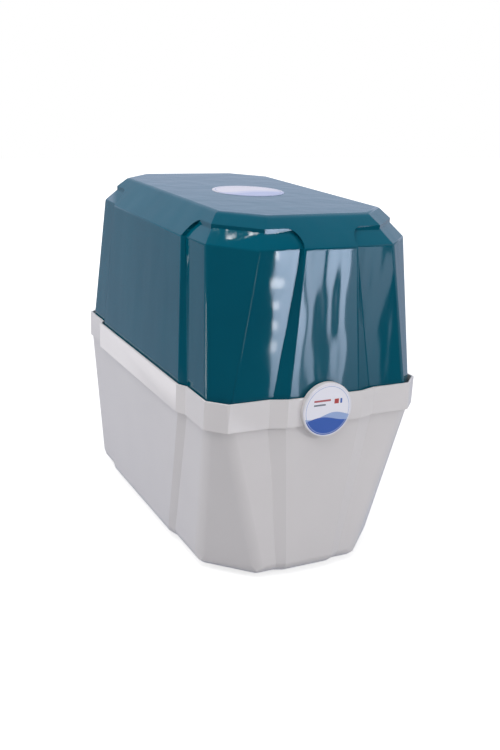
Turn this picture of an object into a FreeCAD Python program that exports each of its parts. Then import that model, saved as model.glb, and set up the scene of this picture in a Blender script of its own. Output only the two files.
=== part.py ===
import FreeCAD, Part

import math
import os

from FreeCAD import Vector

os.makedirs("parts", exist_ok=True)

# Closed-case reverse-osmosis water purifier, millimetres.
# The origin is the middle of the footprint on the floor, +Z is up, the front with the badge faces -Y.
# Each half of the case has four lower-lying corner guards and proud middle panels between them.

# Heights of the case, from the floor up
foot_stand = 3.0
tub_height = 182.0
rim_height = 31.0
cover_wall_height = 154.0
shoulder_height = 30.0
ledge_drop = 11.5

# Plan sizes of the case, measured on the corner guards; a lean is how far a wall slopes inwards
rim_half_width = 130.0
rim_half_depth = 206.4
rim_chamfer = 19.0
rim_step = 2.6
tub_floor_half_width = 112.0
tub_front_lean = 10.4
tub_back_lean = 6.4
tub_floor_chamfer_front = 49.0
tub_floor_chamfer_back = 21.0
tub_floor_round = 17.0
crease_half_width = 120.3
crease_lean = 10.4
crease_chamfer = 41.0
top_half_width = 98.0
shoulder_lean = 24.0
top_chamfer = 38.0
top_round = 9.0
guard_edge_round = 4.0

# Walls, and how far the middle panels stand proud of the guards
tub_wall = 3.0
rim_wall = 2.4
cover_wall = 2.8
cover_side_gap = 0.6
cover_seat_gap = 0.3
panel_proud = 6.0
floor_panel_proud = 4.0
crease_panel_proud = 5.5
shoulder_recess = 3.5

# Panel outlines: half widths of the front and back panels, half lengths of the side panels.
# The first number of a pair is the proud edge, the second the foot of its slanted step.
rim_front_panel = (45.5, 64.0)
crease_front_panel = (30.5, 33.0)
floor_front_panel = (28.0, 38.0)
floor_back_panel = (40.0, 56.0)
rim_side_panel = (128.0, 139.0)
crease_side_panel = (105.0, 108.0)
floor_side_panel_front = (66.0, 77.0)
floor_side_panel_back = (126.0, 137.0)
guard_corner_round = 14.0

# Round badge on a boss that rises above the front of the rim, and the round label on top
badge_radius = 29.5
badge_thickness = 1.0
badge_above_rim = 14.5
badge_boss_margin = 0.6
badge_boss_proud = 3.0
top_label_radius = 42.5
top_label_x = 3.5
top_label_thickness = 0.5

# Rubber feet
rubber_foot_radius = 10.0
rubber_foot_x = 88.0
rubber_foot_front = 128.0
rubber_foot_back = 158.0

# Water tank: a torispherical steel shell on a plastic stand ring
tank_side_gap = 24.0
tank_front_gap = 20.0
tank_row_gap = 9.0
tank_bottom = 20.0
tank_top = 290.0
tank_crown_radius = 150.0
tank_knuckle_radius = 40.0
crown_steps = 1
knuckle_steps = 2
tank_sides = 40
stand_margin = 22.0
stand_wall = 12.0
stand_clearance = 0.3
stand_sides = 8
locating_rib_gap = 0.7
locating_rib_width = 2.5
locating_rib_height = 5.0
locating_rib_length = 30.0
locating_rib_count = 4
air_valve_height = 95.0
air_valve_angle = 225.0
air_valve_radius = 6.0
air_valve_gap = 0.3
air_valve_length = 13.0
neck_boss_radius = 17.0
neck_boss_height = 5.0
neck_nut_radius = 10.0
neck_nut_height = 5.0

# Cartridge rows: three columns in each of two rows, back to back on the rack
column_pitch = 57.0
row_pitch = 70.0
back_row_gap = 60.0
cartridge_bottom = 45.0
cartridge_length = 250.0
cartridge_radius = 25.0
port_neck_radius = 8.0
port_neck_height = 6.0
housing_radius = 23.0
housing_cap_radius = 28.5
housing_cap_sides = 16
housing_cap_height = 36.0
housing_port_spread = 12.0

# Push-fit fittings and the 6.35 mm tubes between them
tube_radius = 3.175
tube_bend = 18.0
tube_bend_share = 0.85
fitting_leg = 14.0
fitting_radius = 6.0
fitting_body_half = 6.8
fitting_sides = 8
tube_sides = 8
hexagon_sides = 6
tube_bend_steps = 4
product_rise = 16.0
elbow_rise = 9.0

# Rack plate with its legs and clips, screwed to bosses on the tub floor
rack_thickness = 2.5
rack_half_width = 84.0
rack_leg_width = 18.0
rack_plate_bottom = 60.0
rack_top = 296.0
rack_window_width = 30.0
rack_window_height = 96.0
rack_tab_length = 20.0
screw_boss_width = 12.0
screw_boss_height = 6.0
clip_heights = (100.0, 240.0)
clip_height = 12.0
clip_wall = 2.4
clip_gap = 0.15
clip_sides = 8
clip_jaws = 5
clip_block_width = 14.0

# Valves in the water path
shutoff_half_width = 14.0
shutoff_height = 38.0
shutoff_edge = 4.0
shutoff_flange = 1.5
shutoff_port = 3.0
check_valve_radius = 7.5
check_valve_bottom = 150.0
check_valve_length = 36.0
check_valve_hexagon = 16.0
restrictor_radius = 6.5
restrictor_hexagon = 14.0
valve_waist = 1.5
restrictor_lead = 4.0
restrictor_length = 38.0
reject_straight = 12.0
reject_end = 8.0
riser_x = 102.0
outlet_x = -92.0
outlet_height = 120.0
drain_x = 75.0
ball_valve_radius = 12.5
ball_valve_height = 36.0
ball_valve_pivot_rise = 12.0
ball_valve_outlet = 24.0
lever_length = 30.0
lever_width = 9.0
lever_thickness = 5.0
lever_pivot_radius = 4.0
lever_stem = 8.0
lever_gap = 0.4

# Bulkhead unions in the back wall
union_boss_proud = 6.5
union_boss_half_width = 13.0
union_boss_depth = 10.0
union_hole_gap = 0.2
union_barrel_radius = 8.0
union_inner_length = 23.5
union_flange_radius = 11.0
union_flange_thickness = 6.4
union_nut_height = 7.0
collet_wall = 2.0
collet_length = 12.0
collet_flange_radius = 6.6
collet_sides = 8
collet_flange_thickness = 2.0
collet_travel = 1.2
collet_gap = 0.3
tube_bore_gap = 0.1
union_collet_bore = 10.0

# Collet sizes that follow the tube
collet_bore = tube_radius + tube_bore_gap
collet_radius = collet_bore + collet_wall

# Depths that follow the rim
tub_floor_front = rim_half_depth - tub_front_lean
tub_floor_back = rim_half_depth - tub_back_lean
crease_half_depth = rim_half_depth - crease_lean
top_half_depth = crease_half_depth - shoulder_lean
union_face_y = tub_floor_back + union_boss_proud
back_row_y = tub_floor_back - back_row_gap
front_row_y = back_row_y - row_pitch

# The largest tank that fits between the side walls, the front wall and the front row
tank_front = -(tub_floor_front - tank_front_gap)
tank_back = front_row_y - cartridge_radius - tank_row_gap
tank_radius = min(rim_half_width - tank_side_gap, 0.5 * (tank_back - tank_front))
tank_y = tank_front + tank_radius
stand_outer_radius = tank_radius - stand_margin

# Height of each main level
z_floor = foot_stand
z_rim = z_floor + tub_height
z_rim_top = z_rim + rim_height
z_crease = z_rim_top + cover_wall_height
z_top = z_crease + shoulder_height
z_ledge = z_top - ledge_drop

# A chamfer on an octagon shrinks by this much for each millimetre the octagon is inset
chamfer_shrink = 2.0 - math.sqrt(2.0)

# Corners closer than this to one plane make a flat wall
flatness = 1.0e-6

# Steps in which the edge roundings follow their arcs
round_steps = 3


def level(z, half_width, front, back, chamfer_front, chamfer_back):
    """One plan outline of the case: an octagon with 45 degree corners."""
    return (z, half_width, front, back, chamfer_front, chamfer_back)


def inset(outline, distance):
    """The same outline moved inwards by a distance, or outwards by a negative one."""
    z, half_width, front, back, chamfer_front, chamfer_back = outline
    shrink = distance * chamfer_shrink
    return (z, half_width - distance, front - distance, back - distance,
            chamfer_front - shrink, chamfer_back - shrink)


def at_height(lower, upper, z):
    """The outline at a height between two others."""
    share = (z - lower[0]) / (upper[0] - lower[0])
    return tuple(low + share * (high - low) for low, high in zip(lower, upper))


def at_z(outline, z):
    return (z,) + tuple(outline[1:])


def corners_at(points, z):
    return [Vector(x, y, z) for x, y in points]


def octagon(outline, edge_round):
    """Corner points of an outline; each rounded corner follows its arc in two chords."""
    z, half_width, front, back, chamfer_front, chamfer_back = outline
    points = [(-half_width + chamfer_front, -front), (half_width - chamfer_front, -front),
              (half_width, -front + chamfer_front), (half_width, back - chamfer_back),
              (half_width - chamfer_back, back), (-half_width + chamfer_back, back),
              (-half_width, back - chamfer_back), (-half_width, -front + chamfer_front)]
    corners = corners_at(points, z)
    if edge_round == 0:
        return corners
    half_turn = math.pi / len(corners)
    rounded = []
    for number, corner in enumerate(corners):
        before = (corners[number - 1] - corner).normalize()
        after = (corners[(number + 1) % len(corners)] - corner).normalize()
        inward = (before + after).normalize()
        rounded.append(corner + before * (edge_round * math.tan(half_turn)))
        rounded.append(corner + inward * (edge_round / math.cos(half_turn) - edge_round))
        rounded.append(corner + after * (edge_round * math.tan(half_turn)))
    return rounded


def wall_face(low_start, low_end, high_end, high_start):
    """One wall between two straight edges: flat where its corners allow, else ruled."""
    normal = (low_end - low_start).cross(high_start - low_start).normalize()
    if abs(normal.dot(high_end - low_start)) < flatness:
        corners = [low_start, low_end, high_end, high_start]
        return Part.Face(Part.makePolygon(corners + corners[:1]))
    return Part.makeRuledSurface(Part.makeLine(low_start, low_end), Part.makeLine(high_start, high_end))


def loft(rows):
    """A solid with straight walls through rows of corner points, one row for each height."""
    faces = []
    for row in (rows[0], rows[-1]):
        faces.append(Part.Face(Part.makePolygon(row + row[:1])))
    for low, high in zip(rows, rows[1:]):
        for number in range(len(low)):
            after = (number + 1) % len(low)
            faces.append(wall_face(low[number], low[after], high[after], high[number]))
    shell = Part.makeShell(faces)
    shell.sewShape()
    solid = Part.makeSolid(shell)
    if solid.Orientation == "Reversed":
        solid = Part.makeSolid(Part.makeShell([face.reversed() for face in shell.Faces]))
    return solid


def stack(outlines, edge_round=0):
    return loft([octagon(outline, edge_round) for outline in outlines])


def fuse(solids):
    whole = solids[0]
    for solid in solids[1:]:
        whole = whole.fuse(solid)
    return whole.removeSplitter()


def step_shift(panel, proud, distance):
    """How far a panel's slanted step moves towards the middle when the wall is inset."""
    run = panel[1] - panel[0]
    return distance * math.tan(0.5 * math.atan2(proud, run))


def front_back_band(outlines, front_panels, back_panels, prouds, distance):
    """The proud panels on the two narrow faces, with slanted steps down to the guards."""
    rows = []
    for outline, front_panel, back_panel, proud in zip(outlines, front_panels, back_panels, prouds):
        moved = inset(outline, distance)
        z, front, back = moved[0], moved[2], moved[3]
        front_shift = step_shift(front_panel, proud, distance)
        back_shift = step_shift(back_panel, proud, distance)
        front_edge, front_foot = front_panel[0] - front_shift, front_panel[1] - front_shift
        back_edge, back_foot = back_panel[0] - back_shift, back_panel[1] - back_shift
        points = [(-front_foot, -front), (-front_edge, -front - proud),
                  (front_edge, -front - proud), (front_foot, -front),
                  (back_foot, back), (back_edge, back + proud),
                  (-back_edge, back + proud), (-back_foot, back)]
        rows.append(corners_at(points, z))
    return loft(rows)


def side_band(outlines, front_ends, back_ends, prouds, distance):
    """The proud panels on the two long faces."""
    rows = []
    for outline, front_end, back_end, proud in zip(outlines, front_ends, back_ends, prouds):
        z, half_width = inset(outline, distance)[:2]
        front_shift = step_shift(front_end, proud, distance)
        back_shift = step_shift(back_end, proud, distance)
        front_edge, front_foot = front_end[0] - front_shift, front_end[1] - front_shift
        back_edge, back_foot = back_end[0] - back_shift, back_end[1] - back_shift
        points = [(-half_width, -front_foot), (half_width, -front_foot),
                  (half_width + proud, -front_edge), (half_width + proud, back_edge),
                  (half_width, back_foot), (-half_width, back_foot),
                  (-half_width - proud, back_edge), (-half_width - proud, -front_edge)]
        rows.append(corners_at(points, z))
    return loft(rows)


def rounded_gate(half_span, low, high, radius, axis, reach):
    """A block that is open between two guards: its feet round out to the ledge above them."""
    def place(across, z):
        if axis == "y":
            return Vector(across, -reach, z)
        return Vector(-reach, across, z)

    def corner(side):
        middle = 1.0 - math.sqrt(0.5)
        return Part.Arc(place(side * half_span, high - radius),
                        place(side * (half_span + radius * middle), high - radius * middle),
                        place(side * (half_span + radius), high)).toShape()

    edges = [Part.LineSegment(place(-half_span, low), place(half_span, low)).toShape(),
             Part.LineSegment(place(half_span, low), place(half_span, high - radius)).toShape(),
             corner(1),
             Part.LineSegment(place(half_span + radius, high), place(-half_span - radius, high)).toShape(),
             corner(-1),
             Part.LineSegment(place(-half_span, high - radius), place(-half_span, low)).toShape()]
    face = Part.Face(Part.Wire(Part.__sortEdges__(edges)))
    if axis == "y":
        return face.extrude(Vector(0, 2 * reach, 0))
    return face.extrude(Vector(2 * reach, 0, 0))


def rounding(radius, slope, steps):
    """Inset and height pairs along an arc that rounds a sloping wall into a flat face."""
    turn = 0.5 * math.pi - math.atan(slope)
    reach = radius * math.tan(0.5 * turn)
    pairs = []
    for step in range(steps + 1):
        angle = turn * step / steps
        pairs.append((reach - radius * math.sin(angle), radius - radius * math.cos(angle)))
    return pairs


# Outlines of the two halves at the corner guards
rim_outline = level(z_rim_top, rim_half_width, rim_half_depth, rim_half_depth, rim_chamfer, rim_chamfer)
tub_top_outline = at_z(inset(rim_outline, rim_step), z_rim)
tub_floor_outline = level(z_floor, tub_floor_half_width, tub_floor_front, tub_floor_back,
                          tub_floor_chamfer_front, tub_floor_chamfer_back)
z_seat = z_rim + tub_wall
z_cover_foot = z_seat + cover_seat_gap
cover_inset = rim_wall + cover_side_gap
cover_foot_outline = at_z(inset(rim_outline, cover_inset), z_cover_foot)
crease_outline = level(z_crease, crease_half_width, crease_half_depth, crease_half_depth,
                       crease_chamfer, crease_chamfer)
top_outline = level(z_top, top_half_width, top_half_depth, top_half_depth, top_chamfer, top_chamfer)
proud_crease = inset(crease_outline, -crease_panel_proud)


def pair_at(low_pair, high_pair, share):
    return tuple(low + share * (high - low) for low, high in zip(low_pair, high_pair))


def tub_form(distance, top):
    """The tub below its rim, inset by a wall thickness; the top is carried straight up to a height."""
    bottom = at_height(tub_floor_outline, tub_top_outline, z_floor + distance)
    slope = (tub_top_outline[1] - tub_floor_outline[1]) / tub_height
    outlines = []
    for inward, rise in rounding(tub_floor_round - distance, slope, round_steps):
        outlines.append(at_z(inset(bottom, inward), z_floor + distance + rise))
    outlines.append(tub_top_outline)
    if top > z_rim:
        outlines.append(at_z(tub_top_outline, top))
    shares = [min(1.0, (outline[0] - z_floor) / tub_height) for outline in outlines]
    fronts = [pair_at(floor_front_panel, rim_front_panel, share) for share in shares]
    backs = [pair_at(floor_back_panel, rim_front_panel, share) for share in shares]
    side_fronts = [pair_at(floor_side_panel_front, rim_side_panel, share) for share in shares]
    side_backs = [pair_at(floor_side_panel_back, rim_side_panel, share) for share in shares]
    prouds = [floor_panel_proud + share * (panel_proud - floor_panel_proud) for share in shares]
    edge_round = guard_edge_round if distance == 0 else 0
    guards = stack([inset(outline, distance) for outline in outlines], edge_round)
    return fuse([guards,
                 front_back_band(outlines, fronts, backs, prouds, distance),
                 side_band(outlines, side_fronts, side_backs, prouds, distance)])


def rim_form(distance, low, high):
    """The upright rim band round the top of the tub."""
    outlines = [at_z(rim_outline, low), at_z(rim_outline, high)]
    edge_round = guard_edge_round if distance == 0 else 0
    guards = stack([inset(outline, distance) for outline in outlines], edge_round)
    return fuse([guards,
                 front_back_band(outlines, [rim_front_panel] * 2, [rim_front_panel] * 2,
                                 [panel_proud] * 2, distance),
                 side_band(outlines, [rim_side_panel] * 2, [rim_side_panel] * 2,
                           [panel_proud] * 2, distance)])


def cover_form(distance, foot):
    """The upper cover as a solid, inset by a wall thickness, from a foot height to the top."""
    top_z = z_top - distance
    low = at_z(cover_foot_outline, foot)
    walls = [low, crease_outline]
    foot_front = tuple(half - step_shift(rim_front_panel, panel_proud, cover_inset)
                       for half in rim_front_panel)
    foot_side = tuple(half - step_shift(rim_side_panel, panel_proud, cover_inset)
                      for half in rim_side_panel)
    prouds = [panel_proud, crease_panel_proud]
    guard_top = inset(at_height(crease_outline, top_outline, top_z), shoulder_recess)
    edge_round = guard_edge_round if distance == 0 else 0
    guards = stack([inset(outline, distance) for outline in (low, crease_outline, guard_top)], edge_round)
    ledge = at_height(proud_crease, top_outline, z_ledge)
    peak = at_height(proud_crease, top_outline, top_z)
    slope = (ledge[1] - peak[1]) / (top_z - z_ledge)
    cap_outlines = [ledge]
    for inward, drop in reversed(rounding(top_round - distance, slope, round_steps)):
        cap_outlines.append(at_z(inset(peak, inward), top_z - drop))
    cap = stack([inset(outline, distance) for outline in cap_outlines])
    skirt = stack([inset(at_z(ledge, z_crease), distance), inset(ledge, distance)])
    shoulder = stack([inset(proud_crease, distance), inset(ledge, distance)])
    gate_round = guard_corner_round + distance
    reach = 2.0 * rim_half_depth
    front_gate = rounded_gate(crease_front_panel[0] - distance, z_crease, z_ledge, gate_round, "y", reach)
    side_gate = rounded_gate(crease_side_panel[0] - distance, z_crease, z_ledge, gate_round, "x", reach)
    return fuse([guards,
                 front_back_band(walls, [foot_front, crease_front_panel],
                                 [foot_front, crease_front_panel], prouds, distance),
                 side_band(walls, [foot_side, crease_side_panel],
                           [foot_side, crease_side_panel], prouds, distance),
                 shoulder.common(front_gate), shoulder.common(side_gate), skirt, cap])


def disc(x, y, low, high, radius):
    """An upright cylinder between two heights."""
    return Part.makeCylinder(radius, high - low, Vector(x, y, low))


def rod(start, end, radius):
    """A cylinder from one point to another."""
    run = end - start
    return Part.makeCylinder(radius, run.Length, start, run)


def block(low, high):
    return Part.makeBox(high[0] - low[0], high[1] - low[1], high[2] - low[2], Vector(*low))


def flat_sided(start, end, flat_radius, sides):
    """A bar with flats from one point to another; the radius is the one out to its flats."""
    run = end - start
    first = toward_right if abs(run.x) < 0.5 * run.Length else upward
    second = (run * (1.0 / run.Length)).cross(first)
    corner_radius = flat_radius / math.cos(math.pi / sides)
    corners = []
    for number in range(sides):
        angle = math.pi * (2 * number + 1) / sides
        corners.append(start + first * (corner_radius * math.cos(angle))
                       + second * (corner_radius * math.sin(angle)))
    return Part.Face(Part.makePolygon(corners + corners[:1])).extrude(run)


def turned(points, x, y, sides):
    """A vessel about an upright axis from its radius and height points, with narrow flats all round."""
    rows = []
    for radius, z in points:
        row = []
        for number in range(sides):
            angle = 2.0 * math.pi * number / sides
            row.append(Vector(x + radius * math.cos(angle), y + radius * math.sin(angle), z))
        rows.append(row)
    return loft(rows)


def save(shape, node):
    solids = shape.Solids
    kept = solids[0] if len(solids) == 1 else Part.makeCompound(solids)
    kept.exportStep("parts/" + node + ".step")


# Directions, and places that several pieces share
toward_front = Vector(0, -1, 0)
toward_back = Vector(0, 1, 0)
toward_left = Vector(-1, 0, 0)
toward_right = Vector(1, 0, 0)
upward = Vector(0, 0, 1)
z_inner_floor = z_floor + tub_wall
badge_z = z_rim_top + badge_above_rim - badge_radius
badge_face_y = -(rim_half_depth + panel_proud + badge_boss_proud)
rack_y = 0.5 * (front_row_y + back_row_y)
rack_foot_z = z_inner_floor + screw_boss_height
screw_x = rack_half_width - 0.5 * rack_leg_width
screw_y = rack_y + 0.5 * rack_thickness + 0.5 * rack_tab_length
cartridge_top = cartridge_bottom + cartridge_length
low_port_z = cartridge_bottom - port_neck_height - elbow_rise
high_port_z = cartridge_top + port_neck_height + elbow_rise
product_z = high_port_z + product_rise
left_x = -column_pitch
right_x = column_pitch
permeate_y = front_row_y - housing_port_spread
reject_y = front_row_y + housing_port_spread
feed_place = Vector(left_x, union_face_y, low_port_z)
drain_place = Vector(drain_x, union_face_y, low_port_z)
outlet_place = Vector(outlet_x, union_face_y, outlet_height)
union_places = [feed_place, drain_place, outlet_place]
foot_places = [(side * rubber_foot_x, y) for side in (-1, 1) for y in (-rubber_foot_front, rubber_foot_back)]


def union_boss(place):
    half = Vector(union_boss_half_width, 0, union_boss_half_width)
    low = place - half - toward_back * union_boss_depth
    high = place + half
    return block((low.x, low.y, low.z), (high.x, high.y, high.z))


def make_tub():
    """The white tub with its rim band, badge boss, union bosses, rack bosses and tank ribs."""
    boss_start = Vector(0, badge_face_y, badge_z)
    boss_end = Vector(0, -rim_half_depth, badge_z)
    outer = fuse([tub_form(0, z_rim), rim_form(0, z_rim, z_rim_top),
                  rod(boss_start, boss_end, badge_radius + badge_boss_margin)])
    inner = tub_form(tub_wall, z_seat).fuse(rim_form(rim_wall, z_seat, z_rim_top + 2 * badge_radius))
    tub = outer.cut(inner)
    rib_inner = stand_outer_radius + locating_rib_gap
    half_rib = 0.5 * locating_rib_length
    half_boss = 0.5 * screw_boss_width
    additions = [union_boss(place) for place in union_places]
    for number in range(locating_rib_count):
        rib = block((rib_inner, tank_y - half_rib, z_floor),
                    (rib_inner + locating_rib_width, tank_y + half_rib,
                     z_inner_floor + locating_rib_height))
        rib.rotate(Vector(0, tank_y, 0), upward, 360.0 * number / locating_rib_count)
        additions.append(rib)
    for side in (-1, 1):
        additions.append(block((side * screw_x - half_boss, screw_y - half_boss, z_floor),
                               (side * screw_x + half_boss, screw_y + half_boss, rack_foot_z)))
    for piece in additions:
        tub = tub.fuse(piece)
    for place in union_places:
        tub = tub.cut(rod(place - toward_back * (union_boss_depth + tub_wall), place + toward_back * tub_wall,
                          union_barrel_radius + union_hole_gap))
    return tub.removeSplitter()


def make_cover():
    """The one-piece translucent cover; its foot stands on the ledge inside the rim."""
    return cover_form(0, z_cover_foot).cut(cover_form(cover_wall, z_cover_foot - cover_wall))


def make_badge():
    """The round front label on its boss."""
    start = Vector(0, badge_face_y, badge_z)
    return rod(start, start + toward_front * badge_thickness, badge_radius)


def make_top_label():
    return disc(top_label_x, 0, z_top, z_top + top_label_thickness, top_label_radius)


def make_rubber_feet():
    return Part.makeCompound([disc(x, y, 0, foot_stand, rubber_foot_radius) for x, y in foot_places])


def head_points():
    """Radius and depth below the pole along a torispherical head, in rings that follow its arcs."""
    lean = math.asin((tank_radius - tank_knuckle_radius) / (tank_crown_radius - tank_knuckle_radius))
    points = []
    for step in range(crown_steps + 1):
        angle = lean * step / crown_steps
        points.append((tank_crown_radius * math.sin(angle), tank_crown_radius * (1.0 - math.cos(angle))))
    knuckle_x = tank_radius - tank_knuckle_radius
    knuckle_depth = tank_crown_radius - (tank_crown_radius - tank_knuckle_radius) * math.cos(lean)
    for step in range(1, knuckle_steps + 1):
        angle = lean + (0.5 * math.pi - lean) * step / knuckle_steps
        points.append((knuckle_x + tank_knuckle_radius * math.sin(angle),
                       knuckle_depth - tank_knuckle_radius * math.cos(angle)))
    return points


def head_depth(radius):
    """Depth of a head below its pole at a distance from the axis."""
    points = head_points()
    for (inner, shallow), (outer, deep) in zip(points, points[1:]):
        if inner <= radius <= outer:
            return shallow + (deep - shallow) * (radius - inner) / (outer - inner)
    return 0.0


def make_tank():
    """The pressure tank: a straight shell, a head at each end and a boss for the nipple."""
    head = head_points()[1:]
    outline = [(neck_boss_radius, tank_bottom + head_depth(neck_boss_radius))]
    outline += [(radius, tank_bottom + depth) for radius, depth in head]
    outline += [(radius, tank_top - depth) for radius, depth in reversed(head)]
    outline += [(neck_boss_radius, tank_top - head_depth(neck_boss_radius)),
                (neck_boss_radius, tank_top + neck_boss_height)]
    return turned(outline, 0, tank_y, tank_sides)


def make_tank_stand():
    """The plastic ring with straight sides that the tank stands on."""
    inner = stand_outer_radius - stand_wall
    foot = Vector(0, tank_y, z_inner_floor)
    top = Vector(0, tank_y, tank_bottom + head_depth(inner) - stand_clearance)
    ring = flat_sided(foot, top, stand_outer_radius, stand_sides)
    return ring.cut(flat_sided(foot, top, inner, stand_sides))


def make_air_valve_cap():
    """The cap over the tank's air valve, low on the shell."""
    angle = math.radians(air_valve_angle)
    outward = Vector(math.cos(angle), math.sin(angle), 0)
    start = Vector(0, tank_y, air_valve_height) + outward * (tank_radius + air_valve_gap)
    return flat_sided(start, start + outward * air_valve_length, air_valve_radius, fitting_sides)


def make_tank_neck():
    """The hexagon of the threaded nipple on top of the tank."""
    low = Vector(0, tank_y, tank_top + neck_boss_height)
    return flat_sided(low, low + upward * neck_nut_height, neck_nut_radius, hexagon_sides)


def port_neck(x, y, face_z, direction):
    """The hexagonal neck of a port on a vessel's end."""
    start = Vector(x, y, face_z)
    return flat_sided(start, start + direction * port_neck_height, port_neck_radius, hexagon_sides)


def cartridge(x, y):
    """An inline filter: a round barrel with a port neck at each end."""
    barrel = disc(x, y, cartridge_bottom, cartridge_top, cartridge_radius)
    barrel = barrel.fuse(port_neck(x, y, cartridge_bottom, -upward))
    return barrel.fuse(port_neck(x, y, cartridge_top, upward))


def make_membrane_housing():
    """The membrane vessel: a barrel with two ports below; its screw cap closes the top."""
    x, y = right_x, front_row_y
    body = disc(x, y, cartridge_bottom, cartridge_top - housing_cap_height, housing_radius)
    for port_y in (permeate_y, reject_y):
        body = body.fuse(port_neck(x, port_y, cartridge_bottom, -upward))
    return body


def make_membrane_cap():
    """The screw cap of the membrane vessel with its grip flats, and the feed port on top."""
    x, y = right_x, front_row_y
    low = Vector(x, y, cartridge_top - housing_cap_height)
    cap = flat_sided(low, Vector(x, y, cartridge_top), housing_cap_radius, housing_cap_sides)
    return cap.fuse(port_neck(x, y, cartridge_top, upward))


def make_rack():
    """The upright plate between the two rows, with windows, two legs and their feet."""
    back = rack_y + 0.5 * rack_thickness
    front = back - rack_thickness
    plate = block((-rack_half_width, front, rack_plate_bottom), (rack_half_width, back, rack_top))
    window_middle = 0.5 * (clip_heights[0] + clip_heights[1] + clip_height)
    half_height = 0.5 * rack_window_height
    half_width = 0.5 * rack_window_width
    for x in (left_x, 0, right_x):
        plate = plate.cut(block((x - half_width, front - rack_thickness, window_middle - half_height),
                                (x + half_width, back + rack_thickness, window_middle + half_height)))
    for side in (-1, 1):
        inner, outer = sorted((side * (rack_half_width - rack_leg_width), side * rack_half_width))
        plate = plate.fuse(block((inner, front, rack_foot_z), (outer, back, rack_plate_bottom)))
        plate = plate.fuse(block((inner, front, rack_foot_z),
                                 (outer, back + rack_tab_length, rack_foot_z + rack_thickness)))
    return plate.removeSplitter()


def clip(x, y, low, barrel_radius):
    """A spring clip with straight jaws round a barrel, and a block that reaches the rack plate."""
    bore = barrel_radius + clip_gap
    side = 1 if y < rack_y else -1
    plate_face = rack_y - side * 0.5 * rack_thickness
    turn = 2.0 * math.pi / clip_sides
    rows = []
    for flat_radius in (bore, bore + clip_wall):
        radius = flat_radius / math.cos(0.5 * turn)
        row = []
        for number in range(clip_jaws + 1):
            angle = turn * (number - 0.5 * clip_jaws)
            row.append(Vector(x + radius * math.sin(angle), y + side * radius * math.cos(angle), low))
        rows.append(row)
    corners = rows[0] + rows[1][::-1]
    jaws = Part.Face(Part.makePolygon(corners + corners[:1])).extrude(upward * clip_height)
    half = 0.5 * clip_block_width
    ends = sorted((y + side * (bore + clip_wall), plate_face))
    return jaws.fuse(block((x - half, ends[0], low), (x + half, ends[1], low + clip_height)))


def make_clips():
    clips = []
    for x in (left_x, 0, right_x):
        for y in (front_row_y, back_row_y):
            in_vessel = x == right_x and y == front_row_y
            barrel = housing_radius if in_vessel else cartridge_radius
            for low in clip_heights:
                clips.append(clip(x, y, low, barrel))
    return Part.makeCompound(clips)


def leg_end(x, y, axis_z, direction):
    """Where the tube meets the end of a fitting's leg."""
    return Vector(x, y, axis_z) + direction * fitting_leg


def fitting(x, y, axis_z, neck_z, directions):
    """A push-fit fitting: a square body on a port's neck and a leg for each tube."""
    half = fitting_body_half
    low, high = min(neck_z, axis_z - half), max(neck_z, axis_z + half)
    body = block((x - half, y - half, low), (x + half, y + half, high))
    for direction in directions:
        start = Vector(x, y, axis_z) + direction * half
        body = body.fuse(flat_sided(start, leg_end(x, y, axis_z, direction), fitting_radius, fitting_sides))
    return body


def make_elbows():
    """The twelve identical push-fit elbows on the ports of the vessels."""
    low_neck = cartridge_bottom - port_neck_height
    high_neck = cartridge_top + port_neck_height
    low_legs = [(left_x, back_row_y, toward_back), (0, back_row_y, toward_right),
                (right_x, back_row_y, toward_left), (left_x, front_row_y, toward_right),
                (0, front_row_y, toward_left), (right_x, permeate_y, toward_right),
                (right_x, reject_y, toward_back)]
    high_legs = [(left_x, back_row_y, toward_right), (0, back_row_y, toward_left),
                 (right_x, back_row_y, toward_front), (left_x, front_row_y, toward_left),
                 (right_x, front_row_y, toward_back)]
    elbows = [fitting(x, y, low_port_z, low_neck, [leg]) for x, y, leg in low_legs]
    elbows += [fitting(x, y, high_port_z, high_neck, [leg]) for x, y, leg in high_legs]
    return Part.makeCompound(elbows)


def make_tank_tee():
    """The tee on the polishing filter where the product line branches to the tank."""
    neck_z = cartridge_top + port_neck_height
    return fitting(0, front_row_y, product_z, neck_z, [toward_front, toward_back])


def make_shutoff_valve():
    """The automatic shut-off valve: feed water crosses it below, product water above."""
    x, y = right_x, rack_y
    half = shutoff_half_width
    body = block((x - half, y - half, rack_top), (x + half, y + half, rack_top + shutoff_height))
    uprights = [edge for edge in body.Edges
                if abs(edge.Vertexes[0].Point.z - edge.Vertexes[1].Point.z) > shutoff_edge]
    body = body.makeChamfer(shutoff_edge, uprights)
    middle = 0.5 * (high_port_z + product_z)
    flange = half + shutoff_flange
    body = body.fuse(block((x - flange, y - flange, middle - shutoff_flange),
                           (x + flange, y + flange, middle + shutoff_flange)))
    for axis_z, direction in ((high_port_z, toward_back), (high_port_z, toward_front),
                              (product_z, toward_left), (product_z, toward_right)):
        centre = Vector(x, y, axis_z)
        body = body.fuse(flat_sided(centre + direction * half, centre + direction * (half + shutoff_port),
                                    fitting_radius, fitting_sides))
    return body


def line_valve(start, direction, length, radius, hexagon_length):
    """A valve in a tube's run: a slim body with a hexagonal middle."""
    side = 0.5 * (length - hexagon_length)
    body = flat_sided(start, start + direction * length, radius - valve_waist, fitting_sides)
    middle = start + direction * side
    return body.fuse(flat_sided(middle, middle + direction * hexagon_length, radius, hexagon_sides))


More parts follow.
